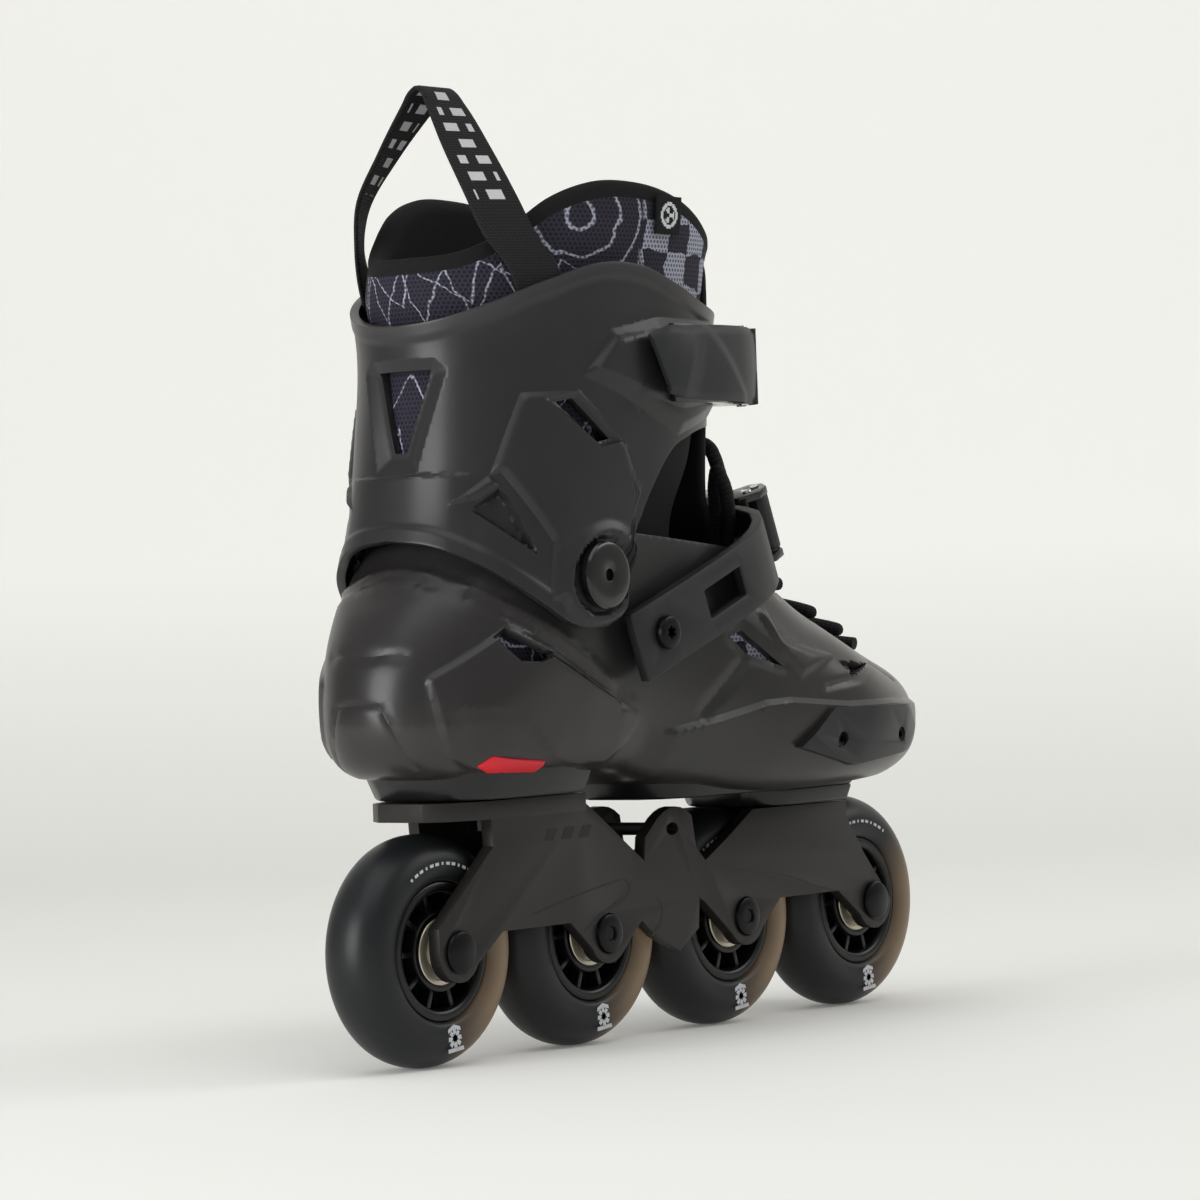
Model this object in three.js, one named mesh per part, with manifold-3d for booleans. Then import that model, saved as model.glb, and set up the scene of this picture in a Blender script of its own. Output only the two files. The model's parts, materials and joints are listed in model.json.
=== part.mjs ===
// A right-foot inline skate: hard boot shell with a hinged cuff, padded liner, ratchet straps, and an
// aluminium frame with four wheels. Millimetres, +Z up, +X towards the toe, -Y the outer side of the foot.
// The origin is on the floor, midway between the outer wheels.
import * as THREE from "three";
import { mergeVertices } from "three/addons/utils/BufferGeometryUtils.js";
import Module from "manifold-3d";

const wasm = await Module();
wasm.setup();

// ---- driving dimensions -------------------------------------------------------------------------------
const WHEEL_R = 38;
const WHEEL_WIDTH = 24;
const WHEEL_PITCH = 77;
const HUB_R = 22.5; // where the tyre is bonded to the hub
const BEARING_R = 11;
const BEARING_BORE_R = 4;
const BEARING_WIDTH = 7;
const AXLE_CLEARANCE = 0.05;
const WALL_GAP = 27; // between the frame's two side walls
const WALL_T = 4.5;
const REAR_MOUNT_Z = 86; // top face of the frame under the heel
const FRONT_MOUNT_Z = 75; // top face of the frame under the ball of the foot
const SHELL_T = 3;
const CUFF_T = 3;
const PIVOT = { x: -71, z: 158 }; // ankle hinge axis, along Y
const FIT_GAP = 0.4; // between pieces that rest on each other

const OUTER = -1; // the side the foot's little toe is on
const INNER = 1;

// ---- helpers ------------------------------------------------------------------------------------------

// A closed geometry as a manifold solid.
function solid(geometry) {
  const bare = geometry.index ? geometry.toNonIndexed() : geometry.clone();
  bare.deleteAttribute("normal");
  bare.deleteAttribute("uv");
  const merged = mergeVertices(bare, 1e-4);
  return new wasm.Manifold(
    new wasm.Mesh({
      numProp: 3,
      vertProperties: merged.attributes.position.array,
      triVerts: new Uint32Array(merged.index.array),
    }),
  );
}

// A manifold solid back as a geometry.
function geometryOf(manifold) {
  const mesh = manifold.getMesh();
  const count = mesh.numProp;
  const positions = new Float32Array(mesh.numVert * 3);
  for (let i = 0; i < mesh.numVert; i++)
    positions.set(mesh.vertProperties.subarray(i * count, i * count + 3), i * 3);
  const geometry = new THREE.BufferGeometry();
  geometry.setAttribute("position", new THREE.BufferAttribute(positions, 3));
  geometry.setIndex(new THREE.BufferAttribute(mesh.triVerts, 1));
  const flat = geometry.toNonIndexed();
  flat.computeVertexNormals();
  return flat;
}

// A prism from a shape drawn in X and Z, from y0 to y1.
function prismY(shape, y0, y1, curveSegments = 6) {
  const geometry = new THREE.ExtrudeGeometry(shape, { depth: y1 - y0, bevelEnabled: false, curveSegments });
  geometry.rotateX(Math.PI / 2);
  geometry.translate(0, y1, 0);
  return geometry;
}

function polygon(points) {
  return new THREE.Shape(points.map(([x, y]) => new THREE.Vector2(x, y)));
}

// A solid of revolution about Y through (x, z), from [radius, y] pairs that close on themselves or the axis.
function turnedY(profile, x, z, segments) {
  const geometry = new THREE.LatheGeometry(
    profile.map(([r, y]) => new THREE.Vector2(r, y)),
    segments,
  );
  geometry.translate(x, 0, z);
  return geometry;
}

function cylinderY(r, y0, y1, x, z, segments = 24) {
  const geometry = new THREE.CylinderGeometry(r, r, y1 - y0, segments);
  geometry.translate(x, (y0 + y1) / 2, z);
  return geometry;
}

function box(x0, x1, y0, y1, z0, z1) {
  const geometry = new THREE.BoxGeometry(x1 - x0, y1 - y0, z1 - z0);
  geometry.translate((x0 + x1) / 2, (y0 + y1) / 2, (z0 + z1) / 2);
  return geometry;
}

function prismZ(corners, z0, z1) {
  const geometry = new THREE.ExtrudeGeometry(polygon(corners), { depth: z1 - z0, bevelEnabled: false });
  geometry.translate(0, 0, z0);
  return geometry;
}

// A closed skin through rings of equal point count, capped at both ends.
function loft(rings) {
  const n = rings[0].length;
  const points = rings.flat();
  const index = [];
  for (let i = 0; i + 1 < rings.length; i++)
    for (let j = 0; j < n; j++) {
      const a = i * n + j;
      const b = i * n + ((j + 1) % n);
      index.push(a, b, a + n, b, b + n, a + n);
    }
  for (const [ring, flip] of [[0, true], [rings.length - 1, false]]) {
    const centre = rings[ring].reduce((sum, p) => sum.add(p), new THREE.Vector3()).divideScalar(n);
    points.push(centre);
    const c = points.length - 1;
    for (let j = 0; j < n; j++) {
      const a = ring * n + j;
      const b = ring * n + ((j + 1) % n);
      index.push(...(flip ? [c, b, a] : [c, a, b]));
    }
  }
  const geometry = new THREE.BufferGeometry();
  geometry.setAttribute("position", new THREE.Float32BufferAttribute(points.flatMap((p) => p.toArray()), 3));
  geometry.setIndex(index);
  const made = solid(geometry);
  if (made.volume() >= 0) return geometry;
  for (let i = 0; i < index.length; i += 3) [index[i + 1], index[i + 2]] = [index[i + 2], index[i + 1]];
  geometry.setIndex(index);
  return geometry;
}

// ---- the boot's form ----------------------------------------------------------------------------------
// Each section of the foot form is a plane from a low point to a high point on the midline, with a
// half-width, the sideways place of its middle, and how square its lower and upper halves are.
const FOOT = [
  // low x, low z, high x, high z, half-width, middle y, lower squareness, upper squareness
  [143, 97, 143, 109, 10, 6, 2.2, 2.2],
  [138, 91, 139, 117, 22, 6, 2.4, 2.2],
  [129, 87, 130, 122, 32, 5, 2.8, 2.2],
  [113, 84, 116, 127, 41, 4, 3.2, 2.2],
  [92, 82, 96, 133, 48, 2, 3.4, 2.1],
  [62, 81, 74, 142, 51, 0, 3.4, 2.1],
  [30, 82, 52, 155, 48.5, 0, 3.4, 2.1],
  [-5, 86, 34, 173, 45, 0, 3.4, 2.1],
  [-40, 90.5, 22, 186, 42, 0, 3.6, 2.2],
  [-75, 92.5, 15, 196, 41, 0, 3.6, 2.3],
  [-106, 93, 11, 205, 41, 0, 3.4, 2.4],
  [-130, 96, 9, 213, 41, 0, 2.8, 2.5],
  [-139.5, 107, 8, 220, 40.5, 0, 2.3, 2.6],
  [-139.5, 126, 8, 228, 39, 0, 2.2, 2.6],
  [-131, 143, 8, 232, 38, 0, 2.1, 2.5],
  [-121, 153, 8, 236, 38, 0, 2.1, 2.4],
  [-114, 172, 8, 240, 38.5, 0, 2.1, 2.4],
];
const RING_POINTS = 28;

function footRing([lowX, lowZ, highX, highZ, halfWidth, middleY, lowPower, highPower], inset) {
  const low = new THREE.Vector2(lowX, lowZ);
  const high = new THREE.Vector2(highX, highZ);
  const centre = low.clone().add(high).multiplyScalar(0.5);
  const up = high.clone().sub(low).normalize();
  const halfHeight = low.distanceTo(high) / 2 - inset;
  return Array.from({ length: RING_POINTS }, (_, i) => {
    const angle = (i / RING_POINTS) * Math.PI * 2;
    const c = Math.cos(angle);
    const s = Math.sin(angle);
    const power = 2 / (s < 0 ? lowPower : highPower);
    const y = middleY + (halfWidth - inset) * Math.sign(c) * Math.abs(c) ** power;
    const along = halfHeight * Math.sign(s) * Math.abs(s) ** power;
    return new THREE.Vector3(centre.x + up.x * along, y, centre.y + up.y * along);
  });
}

function footForm(inset) {
  const rings = FOOT.map((section) => footRing(section, inset));
  rings[0].forEach((p) => (p.x -= inset));
  rings[1].forEach((p) => (p.x -= inset * 0.6));
  return loft(rings);
}

// Level sections of the leg form: height, rear x, front x, half-width, squareness.
const LEG = [
  [138, -131, 16, 46.5, 2.5],
  [158, -126, 18, 46.5, 2.5],
  [178, -121, 20, 46, 2.4],
  [205, -117, 22, 46, 2.3],
  [235, -115, 26, 47, 2.2],
  [252, -118, 31, 47.5, 2.2],
  [275, -119, 42, 49, 2.1],
];

function legRing([z, rear, front, halfWidth, power], inset) {
  return Array.from({ length: RING_POINTS }, (_, i) => {
    const angle = (i / RING_POINTS) * Math.PI * 2;
    const c = Math.cos(angle);
    const s = Math.sin(angle);
    const x = (rear + front) / 2 + ((front - rear) / 2 - inset) * Math.sign(c) * Math.abs(c) ** (2 / power);
    const y = (halfWidth - inset) * Math.sign(s) * Math.abs(s) ** (2 / power);
    return new THREE.Vector3(x, y, z);
  });
}

function legForm(inset, extra = 0) {
  const rings = LEG.map((section) => legRing(section, inset));
  rings[0].forEach((p) => (p.z -= extra));
  rings[rings.length - 1].forEach((p) => (p.z += extra));
  return loft(rings);
}


// ---- materials ----------------------------------------------------------------------------------------
const finish = (color, roughness, metalness = 0) =>
  new THREE.MeshStandardMaterial({ color, roughness, metalness });
const SHELL_PLASTIC = finish(0x2f2e2e, 0.42);
const FRAME_METAL = finish(0x37342f, 0.55, 0.4);
const TYRE_RUBBER = finish(0x4a4843, 0.35);
const HUB_PLASTIC = finish(0x0d0d0e, 0.4);
const BEARING_STEEL = finish(0xb9b2a2, 0.3, 0.9);
const BOLT_STEEL = finish(0x17171a, 0.35, 0.8);
const BRIGHT_STEEL = finish(0xa9abae, 0.25, 1);
const LINER_MESH = finish(0x23222f, 0.85);
const WEBBING = finish(0x111112, 0.9);
const BUCKLE_PLASTIC = finish(0x1b1c1d, 0.5);
const STRAP_PLASTIC = finish(0x202122, 0.55);
const RED_RUBBER = finish(0xa11320, 0.5);
const FOOTBED_FOAM = finish(0x1c1c1e, 0.9);

const model = new THREE.Group();
model.name = "inline_skate";

// Adds one named piece, from a geometry or a manifold solid.
function addPiece(name, shape, material, parent = model) {
  const geometry = shape.isBufferGeometry ? shape : geometryOf(shape);
  const mesh = new THREE.Mesh(geometry, material);
  mesh.name = name;
  parent.add(mesh);
  return mesh;
}

const cut = (solidShape, ...geometries) => geometries.reduce((left, g) => left.subtract(solid(g)), solidShape);
const join = (...geometries) => geometries.map(solid).reduce((left, right) => left.add(right));
const keepInside = (solidShape, geometry) => solidShape.intersect(solid(geometry));

// A flat band along points [a, b] in the plane of axes A and B through origin, its width along C.
function band(points, thickness, width, origin, A, B) {
  const C = A.clone().cross(B);
  const at = (a, b, c) => origin.clone().addScaledVector(A, a).addScaledVector(B, b).addScaledVector(C, c);
  const rings = points.map(([a, b], i) => {
    const before = points[Math.max(i - 1, 0)];
    const after = points[Math.min(i + 1, points.length - 1)];
    const along = new THREE.Vector2(after[0] - before[0], after[1] - before[1]).normalize();
    const out = new THREE.Vector2(along.y, -along.x).multiplyScalar(thickness / 2);
    const half = width / 2;
    return [
      at(a + out.x, b + out.y, -half),
      at(a + out.x, b + out.y, half),
      at(a - out.x, b - out.y, half),
      at(a - out.x, b - out.y, -half),
    ];
  });
  return loft(rings);
}

// A flat strip through stations [x, y, z, width direction x, width direction y].
function ribbon(stations, width, thickness) {
  const centres = stations.map(([x, y, z]) => new THREE.Vector3(x, y, z));
  const rings = stations.map(([, , , wx, wy], i) => {
    const after = centres[Math.min(i + 1, centres.length - 1)];
    const before = centres[Math.max(i - 1, 0)];
    const across = new THREE.Vector3(wx, wy, 0).normalize();
    const out = after.clone().sub(before).cross(across).normalize().multiplyScalar(thickness / 2);
    const half = across.multiplyScalar(width / 2);
    const corner = (a, b) => centres[i].clone().addScaledVector(half, a).addScaledVector(out, b);
    return [corner(-1, 1), corner(1, 1), corner(1, -1), corner(-1, -1)];
  });
  return loft(rings);
}

// Points on a smooth curve through the given [a, b] pairs.
function smooth(pairs, count) {
  const curve = new THREE.SplineCurve(pairs.map(([a, b]) => new THREE.Vector2(a, b)));
  return curve.getSpacedPoints(count).map((p) => [p.x, p.y]);
}

const AXIS_X = new THREE.Vector3(1, 0, 0);
const AXIS_Y = new THREE.Vector3(0, 1, 0);
const AXIS_Z = new THREE.Vector3(0, 0, 1);
const FAR = 120; // past the boot's sides, for cuts that go right through

// ---- frame --------------------------------------------------------------------------------------------
const AXLE_X = [-1.5, -0.5, 0.5, 1.5].map((step) => step * WHEEL_PITCH);
const AXLE_R = 4;
const AXLE_HEAD_R = 6.5;
const AXLE_HEAD_DEPTH = 2;
const BOSS_R = 10;
const PLATE_T = 6;
const WHEEL_CLEARANCE = 1.6;
const WALL_OUT = WALL_GAP / 2 + WALL_T;
const REAR_PLATE = { x0: -WHEEL_PITCH - 45, x1: -WHEEL_PITCH + 25, halfWidth: 21 };
const FRONT_PLATE = { x0: WHEEL_PITCH - 33, x1: WHEEL_PITCH + 23, halfWidth: WALL_OUT };
const END_ROUND = 16; // length of a plate's narrowing nose
const BRIDGE_R = 2.2;
const MOUNT_BOLT_R = 4;
const MOUNT_BOLT_X = { rear: -WHEEL_PITCH, front: WHEEL_PITCH }; // in the gaps between wheels

function wallOutline() {
  const low = WHEEL_R + 5; // the arches between the bosses
  const shape = new THREE.Shape();
  const [rear, midRear, midFront, front] = AXLE_X;
  shape.moveTo(rear - BOSS_R, WHEEL_R + 2);
  shape.absarc(rear, WHEEL_R, BOSS_R, Math.PI, Math.PI * 1.85);
  shape.lineTo(rear + 22, low);
  shape.lineTo(midRear - 20, low);
  shape.absarc(midRear, WHEEL_R, BOSS_R, Math.PI * 1.15, Math.PI * 1.75);
  shape.lineTo(midRear + 18, WHEEL_R + 3);
  shape.lineTo(midRear + 26, WHEEL_R - 3);
  shape.lineTo(0, WHEEL_R - 9);
  shape.lineTo(11, WHEEL_R - 2);
  shape.lineTo(12, low + 4);
  shape.lineTo(midFront - 9, WHEEL_R - 5);
  shape.absarc(midFront, WHEEL_R, BOSS_R, Math.PI * 1.2, Math.PI * 1.85);
  shape.lineTo(midFront + 20, low);
  shape.lineTo(front - 22, low);
  shape.absarc(front, WHEEL_R, BOSS_R, Math.PI * 1.15, Math.PI * 2);
  shape.lineTo(front - 6, WHEEL_R + 18);
  shape.lineTo(FRONT_PLATE.x1, FRONT_MOUNT_Z - 6);
  shape.lineTo(FRONT_PLATE.x1, FRONT_MOUNT_Z);
  shape.lineTo(FRONT_PLATE.x0, FRONT_MOUNT_Z);
  shape.lineTo(29, 66);
  shape.lineTo(16, 59);
  shape.lineTo(11, 64);
  shape.lineTo(9, 75);
  shape.quadraticCurveTo(0, 82, -10, 75);
  shape.lineTo(-17, 69);
  shape.lineTo(-18, 61);
  shape.lineTo(REAR_PLATE.x1 + 10, REAR_MOUNT_Z - 8);
  shape.lineTo(REAR_PLATE.x1 + 4, REAR_MOUNT_Z - 4);
  shape.lineTo(REAR_PLATE.x0 + 24, REAR_MOUNT_Z - 4);
  shape.lineTo(REAR_PLATE.x0 + 25, REAR_MOUNT_Z - 15);
  shape.lineTo(rear - BOSS_R, WHEEL_R + 8);
  const eye = new THREE.Path();
  eye.absellipse(-2, 71, 3.4, 2.2, 0, Math.PI * 2, true);
  shape.holes.push(eye);
  return shape;
}

// A plan outline from x0 to x1 whose heel end narrows in steps to a blunt nose.
function roundedEnd({ x0, x1, halfWidth }) {
  const side = [
    [x0, 0.45 * halfWidth],
    [x0 + 0.3 * END_ROUND, 0.76 * halfWidth],
    [x0 + END_ROUND, halfWidth],
    [x1, halfWidth],
  ];
  return [...side, ...side.map(([x, y]) => [x, -y]).reverse()];
}

function makeFrame() {
  const outline = wallOutline();
  const frontPlate = [FRONT_PLATE.x0, FRONT_PLATE.x1, -FRONT_PLATE.halfWidth, FRONT_PLATE.halfWidth];
  let frame = join(
    prismY(outline, -WALL_OUT, -WALL_GAP / 2),
    prismY(outline, WALL_GAP / 2, WALL_OUT),
    prismZ(roundedEnd(REAR_PLATE), REAR_MOUNT_Z - PLATE_T, REAR_MOUNT_Z),
    box(...frontPlate, FRONT_MOUNT_Z - PLATE_T, FRONT_MOUNT_Z),
    cylinderY(BRIDGE_R, -WALL_GAP / 2 - 1, WALL_GAP / 2 + 1, -4, 71, 12),
  );
  for (const x of AXLE_X) {
    const clear = WALL_GAP / 2;
    frame = cut(
      frame,
      cylinderY(WHEEL_R + WHEEL_CLEARANCE, -clear, clear, x, WHEEL_R, 28),
      cylinderY(AXLE_R + AXLE_CLEARANCE, -FAR, FAR, x, WHEEL_R, 16),
      cylinderY(AXLE_HEAD_R + FIT_GAP, -FAR, -WALL_OUT + AXLE_HEAD_DEPTH, x, WHEEL_R, 20),
      cylinderY(AXLE_HEAD_R + FIT_GAP, WALL_OUT - AXLE_HEAD_DEPTH, FAR, x, WHEEL_R, 20),
    );
  }
  for (const x of Object.values(MOUNT_BOLT_X)) {
    const bore = new THREE.CylinderGeometry(MOUNT_BOLT_R + FIT_GAP, MOUNT_BOLT_R + FIT_GAP, 40, 16);
    bore.rotateX(Math.PI / 2);
    bore.translate(x, 0, REAR_MOUNT_Z - 10);
    frame = cut(frame, bore);
  }
  return frame;
}

// A screw standing along Z with its head underneath, at the frame's centre line.
function mountBolt(x, plateTop) {
  const headTop = plateTop - PLATE_T - FIT_GAP;
  const profile = [
    [0, headTop - 4.5],
    [6.5, headTop - 4.5],
    [6.5, headTop],
    [MOUNT_BOLT_R, headTop],
    [MOUNT_BOLT_R, plateTop + 9],
    [0, plateTop + 9],
  ];
  const geometry = new THREE.LatheGeometry(profile.map(([r, z]) => new THREE.Vector2(r, z)), 16);
  geometry.rotateX(Math.PI / 2);
  geometry.translate(x, 0, 0);
  return geometry;
}

// ---- wheels -------------------------------------------------------------------------------------------
const HUB_WINDOWS = 6;
const HUB_WIDTH = 20;
const SPACER_R = 5.5;
const AXLE_BORE_R = 2.8;
const SCREW_R = 2.5;

function makeTyre() {
  const half = WHEEL_WIDTH / 2;
  const inner = HUB_R;
  const profile = [
    [inner, -half + 1],
    [WHEEL_R - 9, -half + 0.4],
    [WHEEL_R - 4.5, -half + 3.6],
    [WHEEL_R - 1.2, -half + 8],
    [WHEEL_R, -1.6],
  ];
  const mirrored = profile.map(([r, y]) => [r, -y]).reverse();
  return turnedY([...profile, ...mirrored, profile[0]], 0, 0, 32);
}

function makeHub() {
  const half = HUB_WIDTH / 2;
  const rim = HUB_R - FIT_GAP;
  const seat = BEARING_R + 0.15;
  const lip = BEARING_R - 2;
  const seatDepth = half - BEARING_WIDTH;
  const web = half - 2.5;
  const profile = [
    [seat, -half],
    [seat + 3, -half],
    [seat + 3.6, -web],
    [rim, -web],
    [rim, web],
    [seat + 3.6, web],
    [seat + 3, half],
    [seat, half],
    [seat, seatDepth],
    [lip, seatDepth],
    [lip, -seatDepth],
    [seat, -seatDepth],
    [seat, -half],
  ];
  let hub = solid(turnedY(profile, 0, 0, 20));
  const inner = seat + 1.5;
  const outer = rim - 2;
  for (let i = 0; i < HUB_WINDOWS; i++) {
    const middle = (i / HUB_WINDOWS) * Math.PI * 2;
    const reach = Math.PI / HUB_WINDOWS - 0.17;
    const corners = [[inner, -reach], [outer, -reach], [outer, reach], [inner, reach]];
    const shape = polygon(
      corners.map(([r, a]) => [r * Math.cos(middle + a), r * Math.sin(middle + a)]),
    );
    hub = cut(hub, prismY(shape, -half - 1, half + 1));
  }
  return hub;
}

function makeBearing() {
  const profile = [
    [BEARING_BORE_R + 0.15, 0],
    [BEARING_R, 0],
    [BEARING_R, BEARING_WIDTH],
    [BEARING_BORE_R + 0.15, BEARING_WIDTH],
    [BEARING_BORE_R + 0.15, 0],
  ];
  return turnedY(profile, 0, 0, 20);
}

function makeSpacer() {
  const half = HUB_WIDTH / 2 - BEARING_WIDTH - FIT_GAP;
  const bore = AXLE_R + 0.2;
  return turnedY([[bore, -half], [SPACER_R, -half], [SPACER_R, half], [bore, half], [bore, -half]], 0, 0, 12);
}

function makeAxle() {
  const end = WALL_OUT - 3;
  const headFace = -WALL_OUT - 0.4;
  const profile = [
    [0, headFace],
    [AXLE_HEAD_R, headFace],
    [AXLE_HEAD_R, -WALL_OUT + AXLE_HEAD_DEPTH - 0.3],
    [AXLE_R, -WALL_OUT + AXLE_HEAD_DEPTH - 0.3],
    [AXLE_R, end],
    [AXLE_BORE_R, end],
    [AXLE_BORE_R, 0],
    [0, 0],
  ];
  return turnedY(profile, 0, 0, 16);
}

function makeAxleScrew() {
  const headFace = WALL_OUT + 0.4;
  const profile = [
    [0, 1],
    [SCREW_R, 1],
    [SCREW_R, WALL_OUT - AXLE_HEAD_DEPTH + 0.3],
    [AXLE_HEAD_R, WALL_OUT - AXLE_HEAD_DEPTH + 0.3],
    [AXLE_HEAD_R, headFace],
    [0, headFace],
  ];
  const hexagon = new THREE.CylinderGeometry(2.3, 2.3, 3, 6);
  hexagon.translate(0, headFace, 0);
  return cut(solid(turnedY(profile, 0, 0, 16)), hexagon);
}

// ---- boot shell ---------------------------------------------------------------------------------------
const COLLAR_Z = 168; // the shell's top edge, inside the cuff
const HEEL_BLOCK = { x0: -WHEEL_PITCH - 40, x1: -WHEEL_PITCH + 23, halfWidth: 25, top: 97 };
const TOE_BLOCK = { x0: -10, x1: WHEEL_PITCH + 22, halfWidth: 23, low: 80.5, top: 90 }; // steps down to the front plate
const SOLE_GAP = 0.3;
const PIVOT_BOLT_R = 4;
const PIVOT_HEAD_R = 11;
const TONGUE_GAP = 15; // half the open width along the instep
const HEEL_WINDOW = [[-115, 100], [-112, 102.6], [-90, 102], [-86.5, 99.5], [-89, 97.4], [-110, 97.6]];
const SIDE_WINDOW = [[-113, 141], [-106, 136.5], [-91, 133], [-66, 119.5], [-55, 117], [-72, 127.5], [-90, 136]];
const TOE_WINDOWS = [
  [[10, 138], [24, 131.5], [33, 122.5], [17, 126]],
  [[65, 127], [72, 124], [75, 118], [67, 121]],
];

function bothSides(outline) {
  return [prismY(polygon(outline), -FAR, -20), prismY(polygon(outline), 20, FAR)];
}

function makeShell() {
  let shell = join(
    footForm(0),
    prismZ(roundedEnd(HEEL_BLOCK), REAR_MOUNT_Z + SOLE_GAP, HEEL_BLOCK.top),
    prismZ(roundedEnd(TOE_BLOCK), TOE_BLOCK.low, TOE_BLOCK.top),
    box(
      FRONT_PLATE.x0 - 1, TOE_BLOCK.x1,
      -TOE_BLOCK.halfWidth, TOE_BLOCK.halfWidth,
      FRONT_MOUNT_Z + SOLE_GAP, TOE_BLOCK.top,
    ),
  );
  shell = shell.subtract(solid(footForm(SHELL_T)));
  const instep = [[118, 200], [104, 122], [84, 122], [30, 150], [14, 160], [14, 200]];
  shell = cut(
    shell,
    box(-FAR * 2, FAR, -FAR, FAR, COLLAR_Z, 300),
    prismY(polygon(instep), -TONGUE_GAP, TONGUE_GAP),
    ...[HEEL_WINDOW, SIDE_WINDOW, ...TOE_WINDOWS].flatMap(bothSides),
    cylinderY(PIVOT_BOLT_R + FIT_GAP, -FAR, FAR, PIVOT.x, PIVOT.z, 16),
  );
  const archCut = [[HEEL_BLOCK.x1, 80], [TOE_BLOCK.x0, 70], [TOE_BLOCK.x0, 81], [HEEL_BLOCK.x1, 88]];
  shell = cut(shell, prismY(polygon(archCut), -FAR, FAR));
  for (const x of AXLE_X) {
    const clear = WALL_GAP / 2;
    shell = cut(shell, cylinderY(WHEEL_R + WHEEL_CLEARANCE, -clear, clear, x, WHEEL_R, 28));
  }
  for (const [place, x] of Object.entries(MOUNT_BOLT_X)) {
    const top = (place === "rear" ? REAR_MOUNT_Z : FRONT_MOUNT_Z) + 9.5;
    const bore = new THREE.CylinderGeometry(MOUNT_BOLT_R + FIT_GAP, MOUNT_BOLT_R + FIT_GAP, 20, 16);
    bore.rotateX(Math.PI / 2);
    bore.translate(x, 0, top - 10);
    shell = cut(shell, bore);
  }
  shell = cut(shell, instepPrism(INSTEP_RECESS, 36));
  for (const screw of [ANCHOR_SCREW, MEDIAL_ANCHOR_SCREW, ...sliderScrews()]) {
    shell = cut(shell, cylinderY(STRAP_SCREW_R + FIT_GAP, screw.y0, screw.y1, screw.x, screw.z, 12));
  }
  return shell;
}

// ---- small screws -------------------------------------------------------------------------------------
const STRAP_SCREW_R = 2.2;
const STRAP_SCREW_HEAD_R = 5.6;
const ANCHOR_SCREW = { x: -42, z: 138.5, y0: -FAR, y1: -30 };
const MEDIAL_ANCHOR_SCREW = { x: -42, z: 138.5, y0: 30, y1: FAR };

const STRAP_SCREW_LENGTH = 12;

// A strap screw along Y; side is OUTER or INNER, and face is how far out its head's face is.
function strapScrew(side, face) {
  const { x, z } = side === OUTER ? ANCHOR_SCREW : MEDIAL_ANCHOR_SCREW;
  const tip = face - STRAP_SCREW_LENGTH;
  const profile = [
    [0, face],
    [STRAP_SCREW_HEAD_R, face],
    [STRAP_SCREW_HEAD_R, face - 1.4],
    [STRAP_SCREW_R, face - 1.4],
    [STRAP_SCREW_R, tip],
    [0, tip],
  ].map(([r, y]) => [r, side * y]);
  return turnedY(side === OUTER ? profile : [...profile].reverse(), x, z, 16);
}

// ---- side sliders -------------------------------------------------------------------------------------
const SLIDER_OUTLINE = [[31, 97], [47, 110], [98, 109.5], [108, 101], [100, 93], [60, 89.5]];
const SLIDER_T = 4;
const SLIDER_SCREW_X = [51, 90];
const SLIDER_SCREW_Z = 99;

function sliderScrews() {
  return SLIDER_SCREW_X.flatMap((x) => [
    { x, z: SLIDER_SCREW_Z, y0: -FAR, y1: -38 },
    { x, z: SLIDER_SCREW_Z, y0: 38, y1: FAR },
  ]);
}

function makeSlider(side) {
  const near = side * 25;
  const far = side * FAR;
  const outline = prismY(polygon(SLIDER_OUTLINE), Math.min(near, far), Math.max(near, far));
  const skin = solid(footForm(-FIT_GAP - SLIDER_T)).subtract(solid(footForm(-FIT_GAP)));
  const holes = SLIDER_SCREW_X.map((x) =>
    cylinderY(STRAP_SCREW_R + FIT_GAP, Math.min(0, far), Math.max(0, far), x, SLIDER_SCREW_Z, 12),
  );
  return cut(keepInside(skin, outline), ...holes);
}

// ---- cuff ---------------------------------------------------------------------------------------------
const CUFF_OUTLINE = [
  [-160, 163], [-112, 156], [-88, 146], [-80, 142.5], [-71, 141], [-62, 142.5], [-56, 149], [-48, 163],
  [-37, 178], [-23, 192], [-13, 203], [10, 208], [60, 212], [60, 243], [20, 250], [-20, 259], [-58, 261],
  [-90, 253], [-112, 247], [-160, 246],
];
const CUFF_WINDOW = [[-12, 225], [12, 225], [7, 206], [2, 197], [-2, 197], [-7, 206]]; // y, z at the back
const CUFF_SLOT = [[-83, 212], [-80, 215], [-62, 205], [-64, 202]];
const CUFF_FRONT_GAP = 17;

function makeCuff() {
  let cuff = solid(legForm(0)).subtract(solid(legForm(CUFF_T, 10)));
  cuff = keepInside(cuff, prismY(polygon(CUFF_OUTLINE), -FAR, FAR));
  const backWindow = prismY(polygon(CUFF_WINDOW), 80, 180);
  backWindow.rotateZ(Math.PI / 2);
  return cut(
    cuff,
    box(0, FAR, -CUFF_FRONT_GAP, CUFF_FRONT_GAP, 120, 300),
    ...bothSides(CUFF_SLOT),
    backWindow,
    cylinderY(PIVOT_BOLT_R + FIT_GAP, -FAR, FAR, PIVOT.x, PIVOT.z, 16),
  );
}

const NUT_Y = 34.8; // middle of the nut's thickness, inside the shell's wall

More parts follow.
